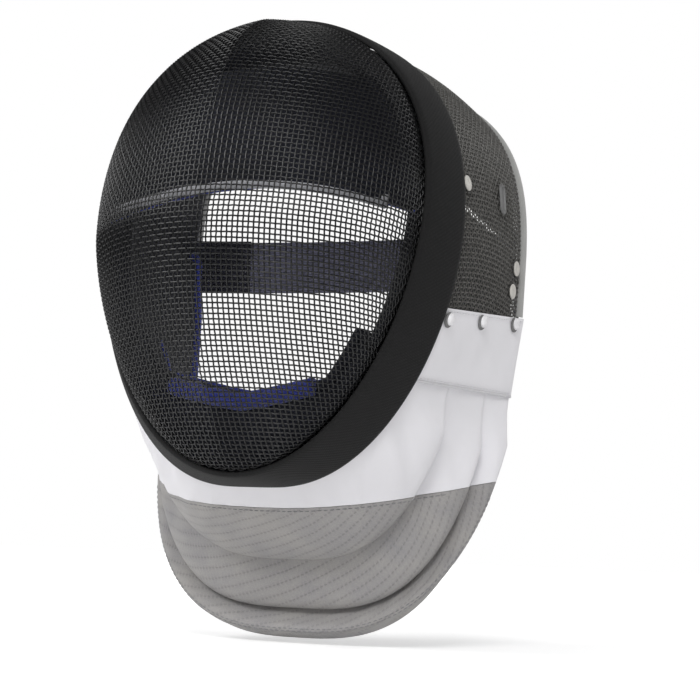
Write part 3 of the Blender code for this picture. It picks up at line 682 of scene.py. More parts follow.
def material(name):
    """The finish of a part of the mask, made once."""
    if name in bpy.data.materials and bpy.data.materials[name].get("mask_finish"):
        return bpy.data.materials[name]
    tone = bpy.context.scene.mask_colours
    makers = {
        "face_wire": lambda: wire_material("face_wire", tone.face_wire, 2.4, 0.30, 0.0),
        "crown_wire": lambda: wire_material("crown_wire", tone.crown_wire, 1.7, 0.42, 0.2),
        "trim_cloth": lambda: trim_material(tone.trim),
        "edge_tape": lambda: cloth_material("edge_tape", tone.edge_tape, 0.0010, 0.00008, 0.3),
        "white_cloth": lambda: cloth_material("white_cloth", tone.white_cloth, 0.0009, 0.00005,
                                              0.25, 30.0, 0.02),
        "bib_lame": lambda: lame_material(tone.lame, tone.lame_warm),
        "strap_elastic": lambda: webbing_material("strap_elastic", tone.strap),
        "lining": lambda: foam_material("lining", tone.lining, 0.0006),
        # Pale colour of the band on the brow pad's lower edge: painted light for the pad's lit
        # underside
        "brow_edge_painted_light": lambda: cloth_material("brow_edge_painted_light", tone.brow_edge_painted_light, 0.0010, 0.0001, 0.2),
        "strap_fold": lambda: webbing_material("strap_fold", shade(tone.strap, 0.15)),
        "blue_piping": lambda: cloth_material("blue_piping", tone.piping, 0.0010, 0.0001, 0.4),
        "pale_disc": lambda: plastic_material("pale_disc", tone.disc, 0.45),
        "plate_grey_and_rivet_shade": lambda: plastic_material("plate_grey_and_rivet_shade", tone.plate, 0.5),
        "white_rivet": lambda: plastic_material("white_rivet", tone.rivet, 0.28),
        "white_thread": lambda: thread_material("white_thread", shade(tone.white_cloth, 0.93)),
        "grey_thread": lambda: thread_material("grey_thread", shade(tone.lame, 0.7)),
        "navy_thread": lambda: thread_material("navy_thread", shade(tone.strap, 0.8)),
    }
    made = makers[name]()
    made["mask_finish"] = True
    return made


# Woven wire

LINE_STEPS = 900
EDGE_STEP = 0.0005
FACE_TUCKED = 0.0045
FACE_COUNTS = (70, 80)
CROWN_TUCKED = 0.005
CROWN_FOOT = 0.002
CROWN_COUNTS = (120, 70)
CROWN_TOP_MARGIN = 0.03
CROWN_EDGE_MARGIN = 0.0045
WIRE_BEND = 0.92
SHARPEST_CORNER = math.radians(38.0)


class Woven:
    """Square wire net laid on a surface: every crossing is one pitch from its neighbours."""

    def __init__(self, grid, closed, pole, pitch):
        verts = [p for row in grid for p in row]
        cols = len(grid[0])
        faces = []
        wrap = cols if closed else cols - 1
        for i in range(len(grid) - 1):
            for j in range(wrap):
                n = (j + 1) % cols
                quad = (i * cols + j, i * cols + n, (i + 1) * cols + n, (i + 1) * cols + j)
                faces.append(quad)
        if pole is not None:
            verts.append(pole)
            for j in range(cols):
                faces.append((len(verts) - 1, j, (j + 1) % cols))
        self.tree = BVHTree.FromPolygons([tuple(v) for v in verts], faces)
        self.pitch = pitch
        self.nodes = {}
        self.normals = {}

    def settle(self, guess):
        place, normal, _, _ = self.tree.find_nearest(guess)
        return place, normal

    def seed(self, i, j, point):
        place, normal = self.settle(point)
        self.nodes[i, j] = place
        self.normals[i, j] = normal

    def fill(self, i, j, inside):
        """Place a crossing from the two beside it."""
        a, b = self.nodes.get((i - 1, j)), self.nodes.get((i, j - 1))
        corner = self.nodes.get((i - 1, j - 1))
        if a is None or b is None or corner is None:
            return
        point = a + b - corner
        for _ in range(6):
            point, normal = self.settle(point)
            for near in (a, b):
                reach = point - near
                if reach.length > 1e-6:
                    point = point + reach * (self.pitch / reach.length - 1) * 0.5
        point, normal = self.settle(point)
        open_angle = (point - a).angle(point - b, 0.0)
        if open_angle < SHARPEST_CORNER or not inside(point):
            return
        self.nodes[i, j] = point
        self.normals[i, j] = normal


def resample(points, pitch):
    """Points one pitch apart along a dense line."""
    out = [points[0].copy()]
    at = points[0].copy()
    for target in points[1:]:
        while (target - at).length >= pitch and (target - out[-1]).length >= pitch:
            step = target - out[-1]
            out.append(out[-1] + step * (pitch / step.length))
        at = out[-1]
    return out


def facing_out(normal, point, middle):
    return normal if normal.dot(point - middle) > 0 else -normal


def net_wires(name, net, family, radius, sides, middle, sink, finish, slot, nodes):
    """One family of wires of a net, each passing over and under the wires it crosses."""
    lines = {}
    for (i, j) in net.nodes:
        lines.setdefault(i if family == 0 else j, []).append(j if family == 0 else i)
    patch = Patch()
    for line, members in lines.items():
        members.sort()
        run = []
        for k, member in enumerate(members):
            if run and member != members[k - 1] + 1:
                add_wire(patch, net, run, line, family, radius, sides, middle, sink)
                run = []
            run.append(member)
        add_wire(patch, net, run, line, family, radius, sides, middle, sink)
    return patch.piece(name, material(finish), nodes, slot, ROUND)


def add_wire(patch, net, run, line, family, radius, sides, middle, sink):
    if len(run) < 2:
        return
    points, normals = [], []
    for member in run:
        key = (line, member) if family == 0 else (member, line)
        point = net.nodes[key]
        normal = facing_out(net.normals[key], point, middle)
        over = 1 if (key[0] + key[1] + family) % 2 else -1
        points.append(point + normal * (over * radius * WIRE_BEND - sink))
        normals.append(normal)
    patch.tube(points, normals, radius, sides)


def face_surface():
    inset = TRIM_WALL / 2 + CLEARANCE
    cols = 192
    angles = [2 * math.pi * j / cols for j in range(cols)]
    grid = []
    rings = 72
    for k in range(1, rings + 1):
        share = math.sin(math.pi / 2 * k / rings)
        grid.append([face_point(a, share, inset) for a in angles])
    for back in (0.002, 0.006, 0.012):
        grid.append([rim_point(a, -inset, back) for a in angles])
    return grid, face_point(0.0, 0.0, inset)


def mirror_net(net):
    for (i, j) in [key for key in net.nodes if key[0] > 0]:
        point, normal = net.nodes[i, j], net.normals[i, j]
        net.nodes[-i, j] = Vector((-point.x, point.y, point.z))
        net.normals[-i, j] = Vector((-normal.x, normal.y, normal.z))


def face_net(pitch):
    grid, pole = face_surface()
    net = Woven(grid, True, pole, pitch)
    start_up = FACE_PEAK * HALF_HEIGHT
    inset = TRIM_WALL / 2 + CLEARANCE

    def inside(point):
        return (point - RIM_CENTRE).dot(RIM_BACK) < FACE_TUCKED

    for way in (1, -1):
        angle = 0.0 if way > 0 else math.pi
        line = [face_point(angle, math.sin(math.pi / 2 * k / LINE_STEPS), inset)
                for k in range(LINE_STEPS + 1)]
        line += [rim_point(angle, -inset, k * EDGE_STEP) for k in range(1, 10)]
        for j, point in enumerate(resample(line, pitch)):
            net.seed(0, way * j, point)
    line = []
    for k in range(LINE_STEPS + 1):
        side = math.sin(math.pi / 2 * k / LINE_STEPS)
        width = rim_outline(math.acos(start_up / HALF_HEIGHT))[0]
        x = side * width
        place = RIM_CENTRE + Vector((max(0.0, x - inset * side), 0.0, 0.0))
        line.append(place + RIM_UP * start_up - RIM_BACK * face_depth(x, start_up))
    line += [line[-1] + RIM_BACK * EDGE_STEP * k for k in range(1, 10)]
    for i, point in enumerate(resample(line, pitch)):
        if i:
            net.seed(i, 0, point)
    for i in range(1, FACE_COUNTS[0]):
        for j in range(1, FACE_COUNTS[1]):
            net.fill(i, j, inside)
    flipped = Woven.__new__(Woven)
    flipped.tree, flipped.pitch = net.tree, pitch
    flipped.nodes = {(i, -j): p for (i, j), p in net.nodes.items() if j <= 0}
    flipped.normals = {(i, -j): n for (i, j), n in net.normals.items() if j <= 0}
    for i in range(1, FACE_COUNTS[0]):
        for j in range(1, FACE_COUNTS[1]):
            flipped.fill(i, j, inside)
    for (i, j), point in flipped.nodes.items():
        net.nodes[i, -j] = point
        net.normals[i, -j] = flipped.normals[i, j]
    mirror_net(net)
    return net


def crown_surface():
    last = BAND_ANGLE + BAND_OVERLAP
    cols = 180
    angles = [mix(-last, last, j / cols) for j in range(cols + 1)]
    grid = [[inside_trim(a, TRIM_DEPTH - TUCK, 0.0) for a in angles]]
    for k in range(37):
        grid.append([crown_point(a, k / 36) for a in angles])
    return grid


def crown_net(pitch):
    """Net of the crown, laid forward from a wire beside its back edge."""
    net = Woven(crown_surface(), False, None, pitch)
    last = BAND_ANGLE + BAND_OVERLAP

    def inside(point):
        place = point - RIM_CENTRE
        if place.dot(RIM_BACK) < TRIM_DEPTH - CROWN_TUCKED:
            return False
        return place.z > seat_height(last) - CROWN_FOOT

    top = [crown_point(0.0, 1 - CROWN_TOP_MARGIN - k / LINE_STEPS)
           for k in range(LINE_STEPS) if k / LINE_STEPS < 1 - CROWN_TOP_MARGIN]
    top += [inside_trim(0.0, TRIM_DEPTH - EDGE_STEP * k, 0.0) for k in range(1, 12)]
    for j, point in enumerate(resample(top, pitch)):
        net.seed(0, j, point)
    rear = []
    for k in range(2 * LINE_STEPS + 1):
        angle = last * k / (2 * LINE_STEPS)
        rear.append(crown_point(angle, 1 - CROWN_EDGE_MARGIN / crown_length(angle)))
    for i, point in enumerate(resample(rear, pitch)):
        if i:
            net.seed(i, 0, point)
    for i in range(1, CROWN_COUNTS[0]):
        for j in range(1, CROWN_COUNTS[1]):
            net.fill(i, j, inside)
    mirror_net(net)
    return net


# Trim and binding

BINDING_STOP = math.radians(0.5)
BINDING_GIRTH = 0.02
BINDING_SQUARE_ALONG = 0.6
BINDING_SQUARE_OUT = 0.75
TRIM_EDGE = 0.0008
TRIM_ROLL = 0.0002
TRIM_STEPS = 14


def trim_section(puff):
    """Section of the trim as places back along the head and outward, swollen on its outside."""
    half, wall = TRIM_DEPTH / 2, TRIM_WALL / 2
    edge, roll = half - TRIM_EDGE, half - TRIM_ROLL
    shares = [k / TRIM_STEPS for k in range(TRIM_STEPS + 1)]
    section = [(mix(-edge, edge, t), wall + puff * math.sin(math.pi * t) ** 0.6) for t in shares]
    section += [(roll, wall * 0.6), (half, 0.0), (roll, -wall * 0.6)]
    section += [(mix(edge, -edge, t), -wall) for t in shares]
    section += [(-roll, -wall * 0.6), (-half, 0.0), (-roll, wall * 0.6)]
    return [(along + half, out) for along, out in section]


# Operators

class MaskOperator:
    """Shared settings of the operators."""
    bl_options = {"REGISTER", "UNDO"}

    def execute(self, context):
        self.build(context.scene.mask_sizes)
        return {"FINISHED"}


class MASK_OT_face_wire(MaskOperator, bpy.types.Operator):
    """Weave the face from two families of wire"""
    bl_idname = "mask.face_wire"
    bl_label = "Face wire"

    def build(self, sizes):
        net = face_net(sizes.face_pitch)
        radius = sizes.wire_diameter / 2
        middle = RIM_CENTRE + RIM_BACK * 0.05
        for name, family, nodes in (("face_warp", 0, ("front_mesh",)), ("face_weft", 1, ())):
            net_wires(name, net, family, radius, sizes.wire_sides, middle, SHEET / 2,
                      "face_wire", "face_mesh", nodes)


class MASK_OT_crown_wire(MaskOperator, bpy.types.Operator):
    """Weave the crown from two families of wire"""
    bl_idname = "mask.crown_wire"
    bl_label = "Crown wire"

    def build(self, sizes):
        net = crown_net(sizes.crown_pitch)
        radius = sizes.crown_wire_diameter / 2
        middle = RIM_CENTRE + Vector((0.0, 0.09, 0.0))
        for name, family, nodes in (("crown_warp", 0, ("back_mesh",)), ("crown_weft", 1, ())):
            net_wires(name, net, family, radius, sizes.wire_sides, middle, SHEET / 2,
                      "crown_wire", "crown_mesh", nodes)


class MASK_OT_trim(MaskOperator, bpy.types.Operator):
    """Pad the black trim round the rim"""
    bl_idname = "mask.trim"
    bl_label = "Rim trim"

    def build(self, sizes):
        profile = trim_section(sizes.trim_puff)
        patch = Patch()
        count = 260
        run = 0.0
        before = rim_point(0.0, 0.0, 0.0)
        for k in range(count):
            angle = 2 * math.pi * k / count
            flare = trim_flare(angle) / TRIM_DEPTH
            ring = [rim_point(angle, flare * back + out, back) for back, out in profile]
            here = rim_point(angle, 0.0, 0.0)
            run += (here - before).length
            before = here
            patch.add(ring, run, [back - TRIM_DEPTH / 2 for back, out in profile])
        patch.loft(0, count, len(profile), closed=True)
        trim = patch.piece("trim", material("trim_cloth"), ("rim_trim",), "trim_cloth", SOFT)


class MASK_OT_edge_binding(MaskOperator, bpy.types.Operator):
    """Bind the crown's back edge in tape"""
    bl_idname = "mask.edge_binding"
    bl_label = "Edge binding"

    def build(self, sizes):
        patch = Patch()
        last = BAND_ANGLE - BINDING_STOP
        count, sides = 200, 16
        half, thick = EDGE_WIDTH / 2, EDGE_THICKNESS / 2
        run = 0.0
        before = None
        for k in range(count + 1):
            angle = mix(-last, last, k / count)
            length = crown_length(angle)
            ring = []
            for s in range(sides):
                turn = 2 * math.pi * s / sides
                along = sign_power(math.cos(turn), BINDING_SQUARE_ALONG) * half
                out = sign_power(math.sin(turn), BINDING_SQUARE_OUT) * thick
                share = 1 - (half - along) / length
                ring.append(crown_point(angle, share, SHEET / 2 - out))
            run += (ring[0] - before).length if before is not None else 0.0
            before = ring[0]
            patch.add(ring, run, [s / sides * BINDING_GIRTH for s in range(sides)])
        patch.loft(0, count + 1, sides)
        patch.piece("edge_binding", material("edge_tape"), ("back_binding",), "edge_binding")


class MASK_OT_bib(MaskOperator, bpy.types.Operator):
    """Fold the white and grey cloth of the bib"""
    bl_idname = "mask.bib"
    bl_label = "Bib"

    def build(self, sizes):
        outer, inner, normals = bib_walls(sizes)
        for name, side, node, finish, slot in (
                ("bib_white_cloth", 1, "bib_white", "white_cloth", "bib_cloth"),
                ("bib_grey_cloth", -1, "bib_lame", "bib_lame", "bib_lame")):
            cloth = bib_cloth(name, outer, inner, side, finish, node)
        bib_stitching(outer, normals, sizes)


class MASK_OT_bands(MaskOperator, bpy.types.Operator):
    """Sew the white bands along the crown's lower sides"""
    bl_idname = "mask.bands"
    bl_label = "Side bands"

    def build(self, sizes):
        for side, name in ((1, "left"), (-1, "right")):
            band = band_cloth(side, name)
            band_stitching(side, name, sizes)


class MASK_OT_strap(MaskOperator, bpy.types.Operator):
    """Stretch the elastic strap across the back"""
    bl_idname = "mask.strap"
    bl_label = "Strap"

    def build(self, sizes):
        strap_cloth(sizes)


class MASK_OT_lining(MaskOperator, bpy.types.Operator):
    """Pad the inside of the mask and edge the pads in blue"""
    bl_idname = "mask.lining"
    bl_label = "Lining pads"

    def build(self, sizes):
        lining_pads(sizes)


class MASK_OT_fittings(MaskOperator, bpy.types.Operator):
    """Press the discs, slot plates and rivets into the sides"""
    bl_idname = "mask.fittings"
    bl_label = "Fittings"

    def build(self, sizes):
        for side, name in ((1, "left"), (-1, "right")):
            side_fittings(side, name)


class MASK_OT_stage(MaskOperator, bpy.types.Operator):
    """Light the mask over a pale floor and set the camera"""
    bl_idname = "mask.stage"
    bl_label = "Stage"

    def build(self, sizes):
        set_stage(bpy.context.scene.mask_stage)


# Bib

def bib_wrinkle(turn, part, band, sizes):
    """Soft dents of the cloth between two folds."""
    side = abs(turn) / (math.pi / 2)
    height = 0.0
    near_seam = ease((side - 0.35) / 0.5)
    height += 0.6 * near_seam * math.sin(26 * side + 3.1 * band + 5 * part)
    height += 0.35 * math.sin(7.3 * turn + 2.1 * band) * math.sin(math.pi * part)
    height += 0.3 * math.sin(13.7 * turn - 4 * part + band) * near_seam
    height += 0.18 * math.sin(31 * turn + 9 * part) * math.sin(math.pi * part)
    return sizes.bib_wrinkle * height * math.sin(math.pi * min(1.0, part * 1.15)) ** 0.6


# Rows of the cloth between two folds, as shares of the way down
BIB_ROWS = (0.012, 0.035, 0.08, 0.16, 0.26, 0.38, 0.5, 0.62, 0.74, 0.85, 0.93, 0.975, 1.0)
BIB_COLUMNS = 150
SEAM_FADE = math.radians(6.0)
PLEAT_POWER = 1.5
PLEAT_LIP = 0.97
SWELL_SCALE = 3.08


def bib_walls(sizes):
    """Outer and inner grids of the bib, from under the trim to the hem."""
    cols = BIB_COLUMNS
    turns = [math.radians(mix(-90.0, 90.0, k / cols)) for k in range(cols + 1)]
    curves = [[bib_start(t, TRIM_DEPTH, 0.0) for t in turns]]
    curves += [[bib_line(row, t) for t in turns] for row in BIB_FOLDS]
    plain = [[bib_start(t, TRIM_DEPTH - TUCK, 0.0) for t in turns], curves[0]]
    lifts = [[0.0] * (cols + 1), [0.0] * (cols + 1)]
    for band, (first, second) in enumerate(zip(curves, curves[1:])):
        for part in BIB_ROWS:
            plain.append([a.lerp(b, part) for a, b in zip(first, second)])
            rise = ease((part - BIB_ROWS[0]) / 0.05)
            puff = SWELL_SCALE * part ** PLEAT_POWER * math.sqrt(1 - part) * sizes.pleat_puff
            step = sizes.pleat_step * part ** PLEAT_POWER * rise
            if part > PLEAT_LIP:
                step *= 1 - 0.35 * (part - PLEAT_LIP) / 0.03
            line = []
            for turn in turns:
                fade = min(1.0, (math.pi / 2 - abs(turn)) / SEAM_FADE)
                wrinkle = bib_wrinkle(turn, part, band, sizes)
                line.append((step + puff * rise + wrinkle) * fade)
            lifts.append(line)
    middle = Vector((0.0, SEAM_REACH, seat_height(SEAM_ANGLE) - CLOTH_JOIN_DROP))
    normals = grid_normals(plain, RIM_CENTRE + middle)
    outer = [[p + n * f for p, n, f in zip(row, line, lift)]
             for row, line, lift in zip(plain, normals, lifts)]
    inner = [[p - n * BIB_WALL for p, n in zip(row, line)] for row, line in zip(plain, normals)]
    outer[0] = [bib_start(t, TRIM_DEPTH - TUCK, 0.0) for t in turns]
    inner[0] = [bib_start(t, TRIM_DEPTH - TUCK, BIB_WALL) for t in turns]
    inner[1] = [bib_start(t, TRIM_DEPTH, BIB_WALL) for t in turns]
    return outer, inner, normals


def join_lift(x):
    """How much higher the join of the two cloths lies at the sides."""
    return CLOTH_JOIN_CURVE * (x / SEAM_HALF_WIDTH) ** 2


def raise_sides(verts, height):
    for vert in verts:
        vert.co.z += height * (vert.co.x / SEAM_HALF_WIDTH) ** 2


def join_plane(side):
    normal = Vector((0.0, -CLOTH_JOIN_RISE, 1.0)).normalized() * side
    level = seat_height(SEAM_ANGLE) - CLOTH_JOIN_DROP
    return RIM_CENTRE + Vector((0.0, TRIM_DEPTH, level)) + normal * 0.00015, normal


def bib_cloth(name, outer, inner, side, finish, node):
    """Part of the bib on one side of the line where the white cloth meets the grey."""
    patch = Patch()
    along, across = grid_runs(outer)
    patch.shell(outer, inner, along, across)
    mesh = bpy.data.meshes.new(name)
    mesh.from_pydata([tuple(v) for v in patch.verts], [], patch.faces)
    for key, values in (("along", patch.along), ("across", patch.across)):
        layer = mesh.attributes.new(key, "FLOAT", "POINT")
        layer.data.foreach_set("value", np.asarray(values, np.float32))
    bm = bmesh.new()
    bm.from_mesh(mesh)
    bmesh.ops.remove_doubles(bm, verts=bm.verts, dist=1e-6)
    bmesh.ops.recalc_face_normals(bm, faces=bm.faces)
    raise_sides(bm.verts, -CLOTH_JOIN_CURVE)
    through, normal = join_plane(side)
    cut = bmesh.ops.bisect_plane(
        bm, geom=bm.verts[:] + bm.edges[:] + bm.faces[:], dist=1e-7,
        plane_co=through, plane_no=normal, clear_inner=True)
    rim = [item for item in cut["geom_cut"] if isinstance(item, bmesh.types.BMEdge)]
    bmesh.ops.holes_fill(bm, edges=rim, sides=0)
    bmesh.ops.triangulate(bm, faces=[face for face in bm.faces if len(face.verts) > 4])
    raise_sides(bm.verts, CLOTH_JOIN_CURVE)
    bmesh.ops.recalc_face_normals(bm, faces=bm.faces)
    bm.to_mesh(mesh)
    bm.free()
    return finish_piece(name, mesh, material(finish), (node,), CLOTH)


def run_of_stitches(patch, points, normals, length, gap, radius, lift):
    """Separate stitches laid along a line on the cloth."""
    runs = [0.0]
    for a, b in zip(points, points[1:]):
        runs.append(runs[-1] + (b - a).length)
    total = runs[-1]

    def at(run):
        k = min(np.searchsorted(runs, run, side="right") - 1, len(points) - 2)
        share = (run - runs[k]) / max(1e-9, runs[k + 1] - runs[k])
        return points[k].lerp(points[k + 1], share), normals[k].lerp(normals[k + 1], share)

    run = gap / 2
    while run + length < total:
        path, ups = [], []
        for share, rise in ((0.0, -0.9), (0.2, 0.5), (0.8, 0.5), (1.0, -0.9)):
            point, normal = at(run + length * share)
            path.append(point + normal * (lift + radius * rise))
            ups.append(normal)
        patch.tube(path, ups, radius, 5)
        run += length + gap


FOLD_STITCH_REACH = 0.085
JOIN_STITCH_REACH = 0.100
JOIN_STITCH_DROP = 0.0022


def bib_stitching(outer, normals, sizes):
    """Rows of stitches along the hem, the folds and the join of the two cloths."""
    grey, white = Patch(), Patch()
    rows = len(outer)
    stitch = sizes.stitch_length
    through, normal = join_plane(1)
    for row in (rows - 3, rows - 4):
        points, ups = outer[row][3:-3], normals[row][3:-3]
        lower = outer[row + 1][3:-3]
        points = [a.lerp(b, 0.35) for a, b in zip(points, lower)]
        keep = [k for k, p in enumerate(points)
                if (p - through).dot(normal) < join_lift(p.x) - 0.004]
        for part in split_runs(keep):
            run_of_stitches(grey, [points[k] for k in part], [ups[k] for k in part], stitch,
                            stitch * 0.45, 0.00028, -0.0001)
    points, ups = [], []
    for j in range(2, len(outer[0]) - 2):
        for i in range(1, rows - 1):
            a, b = outer[i][j], outer[i + 1][j]
            above = (a - through).dot(normal) + JOIN_STITCH_DROP - join_lift(a.x)
            below = (b - through).dot(normal) + JOIN_STITCH_DROP - join_lift(b.x)
            if above > 0 >= below:
                place = a.lerp(b, above / (above - below))
                if abs(place.x) < JOIN_STITCH_REACH:
                    points.append(place)
                    ups.append(normals[i][j])
                break
    run_of_stitches(grey, points, ups, stitch, stitch * 0.45, 0.00026, 0.0)
    if grey.verts:
        grey.piece("bib_grey_stitches", material("grey_thread"), (), "bib_lame", ROUND)
    for row in (15, 28):
        points, ups = outer[row - 2][6:-6], normals[row - 2][6:-6]
        keep = [k for k, p in enumerate(points)
                if (p - through).dot(normal) > 0.002 and abs(p.x) < FOLD_STITCH_REACH]
        if len(keep) > 4:
            for part in split_runs(keep):
                run_of_stitches(white, [points[k] for k in part], [ups[k] for k in part],
                                stitch, stitch * 0.5, 0.00024, 0.0)
    if white.verts:
        white.piece("bib_white_stitches", material("white_thread"), (), "bib_cloth", ROUND)


def split_runs(indices):
    runs, run = [], [indices[0]]
    for a, b in zip(indices, indices[1:]):
        if b != a + 1:
            runs.append(run)
            run = []
        run.append(b)
    runs.append(run)
    return [r for r in runs if len(r) > 2]


# Side bands

def band_point(side, down, share, depth):
    angle = side * mix(BAND_ANGLE, SEAM_ANGLE, down)
    return crown_point(angle, share, depth)


def band_cloth(side, name):
    rows, cols = 14, 40
    outer, inner = [], []
    for i in range(rows + 1):
        down = i / rows
        outer_row, inner_row = [], []
        for j in range(cols + 1):
            share = mix(0.006, 1.0, j / cols)
            edge = min(i, rows - i) / rows
            edge_along = min(j, cols - j) / cols
            round_off = min(1.0, math.sqrt(max(0.0, min(edge / 0.1, edge_along / 0.05))))
            wave = 0.0002 * math.sin(9 * share * math.pi + 2 * down) * math.sin(math.pi * down)
            depth = -CLEARANCE - BAND_WALL * mix(0.45, 1.0, round_off) - wave
            outer_row.append(band_point(side, down, share, depth))
            inner_row.append(band_point(side, down, share, -CLEARANCE))
        outer.append(outer_row)
        inner.append(inner_row)
    patch = Patch()
    patch.shell(outer, inner, *grid_runs(outer))
    return patch.piece(f"band_{name}", material("white_cloth"), (f"bib_band_{name}",),
                       "bib_cloth")


def band_stitching(side, name, sizes):
    """Rolled edge and stitches of a band, and the piping along the trim below it."""
    patch = Patch()
    cols = 60
    for down in (0.035, 0.955):
        points = [band_point(side, down, mix(0.02, 0.985, j / cols), -CLEARANCE - BAND_WALL)
                  for j in range(cols + 1)]
        ups = [Vector((side, 0.0, 0.0))] * len(points)
        run_of_stitches(patch, points, ups, sizes.stitch_length, sizes.stitch_length * 0.5,
                        0.00024, 0.0)
    points = [band_point(side, 1.0, mix(0.01, 0.99, j / cols), -0.0012) for j in range(cols + 1)]
    ups = [Vector((side, 0.0, 0.0))] * len(points)
    patch.tube(points, ups, 0.0011, 8)
    rear, ups = [], []
    for k in range(cols + 1):
        angle = side * mix(SEAM_ANGLE, math.radians(165.0), k / cols)
        rear.append(rim_point(angle, TRIM_WALL / 2 - 0.0004, TRIM_DEPTH + 0.0011))
        ups.append(RIM_BACK)
    patch.tube(rear, ups, 0.0012, 8)
    patch.piece(f"band_stitches_{name}", material("white_thread"), (), "bib_cloth", ROUND)


# Strap

STRAP_GAP = 0.0006
STRAP_SETBACK = 0.003
STRAP_HEIGHT = 0.035
STRAP_WALL = 0.0016
STRAP_CENTRE = 0.0075
STRAP_BOW = 0.016
STRAP_FOLD = 0.040


def strap_line(x, back):
    half = strap_half_width()
    bow = STRAP_BOW * (1 - (x / half) ** 2)
    return RIM_CENTRE + Vector((x, CROWN_REACH - EDGE_WIDTH - STRAP_SETBACK + bow + back, STRAP_CENTRE))


def strap_half_width():
    return CROWN_HALF_WIDTH - SHEET - STRAP_GAP


def webbing(name, first, last, back, height, cols, node, finish):
    rows = 14
    outer, inner = [], []
    for i in range(rows + 1):
        lift = mix(height / 2, -height / 2, i / rows)
        edge = min(1.0, math.sqrt(min(i, rows - i) / rows / 0.08))
        front_row, back_row = [], []
        for j in range(cols + 1):
            x = mix(first, last, j / cols)
            ripple = 0.0004 * math.sin(x * 90) * math.sin(math.pi * i / rows)
            centre = strap_line(x, back + ripple) + Vector((0.0, 0.0, lift))
            half = STRAP_WALL / 2 * mix(0.45, 1.0, edge)
            front_row.append(centre + Vector((0.0, -half, 0.0)))
            back_row.append(centre + Vector((0.0, half, 0.0)))
        outer.append(front_row)
        inner.append(back_row)
    patch = Patch()
    along, across = grid_runs(outer)
    patch.shell(outer, inner, across, along)
    return patch.piece(name, material(finish), (node,), "strap_elastic")


def strap_cloth(sizes):
    half = strap_half_width()
    strap = webbing("strap_webbing", -half, half, 0.0, STRAP_HEIGHT, 110, "back_strap",
                    "strap_elastic")
    fold = webbing("strap_doubled_end", -half, -half + STRAP_FOLD, -STRAP_WALL - CLEARANCE,
                   STRAP_HEIGHT + 0.001, 24, "strap_fold", "strap_fold")
    stitches = Patch()
    for share in (0.86, 0.93):
        x = -half + STRAP_FOLD * share
        points, ups = [], []
        for k in range(20):
            lift = mix(-0.9, 0.9, k / 19) * STRAP_HEIGHT / 2
            points.append(strap_line(x, -STRAP_WALL * 1.5 - 0.0004) + Vector((0.0, 0.0, lift)))
            ups.append(Vector((0.0, -1.0, 0.0)))
        run_of_stitches(stitches, points, ups, sizes.stitch_length, sizes.stitch_length * 0.4,
                        0.0003, 0.0)
    thread = stitches.piece("strap_stitches", material("navy_thread"), (), "strap_elastic", ROUND)


# Lining

PAD_GAP = 0.0005
CROWN_PAD = 0.009
CROWN_PAD_STATION = 11.7
CROWN_PAD_SPAN = (0.0, 0.92)
CROWN_PAD_RIM = 0.016
SIDE_PAD = 0.010
SIDE_PAD_STATIONS = (12.1, 19.0)
SIDE_PAD_SPAN = ((0.03, 0.90), (0.03, 1.0))
BROW_PAD_DEPTH = 0.030
BROW_PAD_FRONT = 0.030
BROW_PAD_EDGE = 0.032
BROW_PAD_TOP = 0.098
BROW_PAD_ARCH = 0.018
BROW_PAD_LEAN = 0.004
CHIN_PAD_FRONT = 0.002
CHIN_PAD_DEPTH = 0.026
CHIN_PAD_ANGLE = math.radians(122.0)
CHIN_PAD_TOP = 0.094
CHIN_PAD_SLOPE = 0.010
CHIN_PAD_ARCH = 0.014
CHIN_PAD_ARCH_WIDTH = 0.076
CHIN_PAD_ARCH_POWER = 1.2
CHIN_PAD_END = 0.020
CHIN_PAD_NARROW = 0.86
CHIN_BAND = 0.0072
CHIN_BAND_DEPTH = 0.0055
CHIN_BAND_REACH = 0.048
CHIN_ROLL = 0.0038
CHIN_ROLL_DEPTH = 0.0030
CORNER_ROLL = 0.0019
CORNER_ROLL_SEAT = 0.0023
CORNER_ROLL_BACK = 0.0030
REAR_STRIP = 0.0060
REAR_STRIP_DEPTH = 0.0055
SEAM_TAPE = 0.0055
SEAM_TAPE_DEPTH = 0.0022
SEAM_TAPE_POINTS = 7


def station_angle(station):
    below = max(0.0, abs(station) - 16)
    return math.copysign(STATION * (abs(station) - below) + BAND_OVERLAP * below, station)


def wall_share(angle, share):
    return share * (1 - (EDGE_WIDTH + CLEARANCE) / crown_length(angle))


def pad_grid(stations, span, thickness, rows, cols, rim_thickness):
    """Outer and inner faces of a pad that lies inside the wall."""
    outer, inner = [], []
    for i in range(rows + 1):
        station = mix(*stations, i / rows)
        angle = station_angle(station)
        low, high = (mix(span[0][k], span[1][k], i / rows) for k in (0, 1))
        under = -TRIM_WALL / 2 - CLEARANCE - SHEET
        rim = [lambda d: rim_point(angle, under - d, CLEARANCE),
               lambda d: rim_point(angle, under - d, 0.0040),
               lambda d: rim_point(angle, under - d, TUCK + CLEARANCE),
               lambda d: inside_trim(angle, TRIM_DEPTH / 2, SHEET + d + 0.0008),
               lambda d: inside_trim(angle, TRIM_DEPTH - TUCK - CLEARANCE, SHEET + d)]
        makers = list(rim)
        for j in range(cols + 1):
            share = wall_share(angle, mix(low, high, j / cols))
            makers.append(lambda d, s=share: crown_point(angle, s, SHEET + d))
        count = len(makers) - 1
        outer_row, inner_row = [], []
        for j, make in enumerate(makers):
            edge = min(min(i, rows - i) / rows / 0.10, min(j, count - j) / count / 0.10, 1.0)
            middle = rim_thickness if j < 4 else thickness
            full = middle * mix(0.30, 1.0, math.sqrt(max(0.0, 1 - (1 - edge) ** 2)))
            outer_row.append(make(PAD_GAP + 0.0002))
            inner_row.append(make(PAD_GAP + full))
        outer.append(outer_row)
        inner.append(inner_row)
    return outer, inner


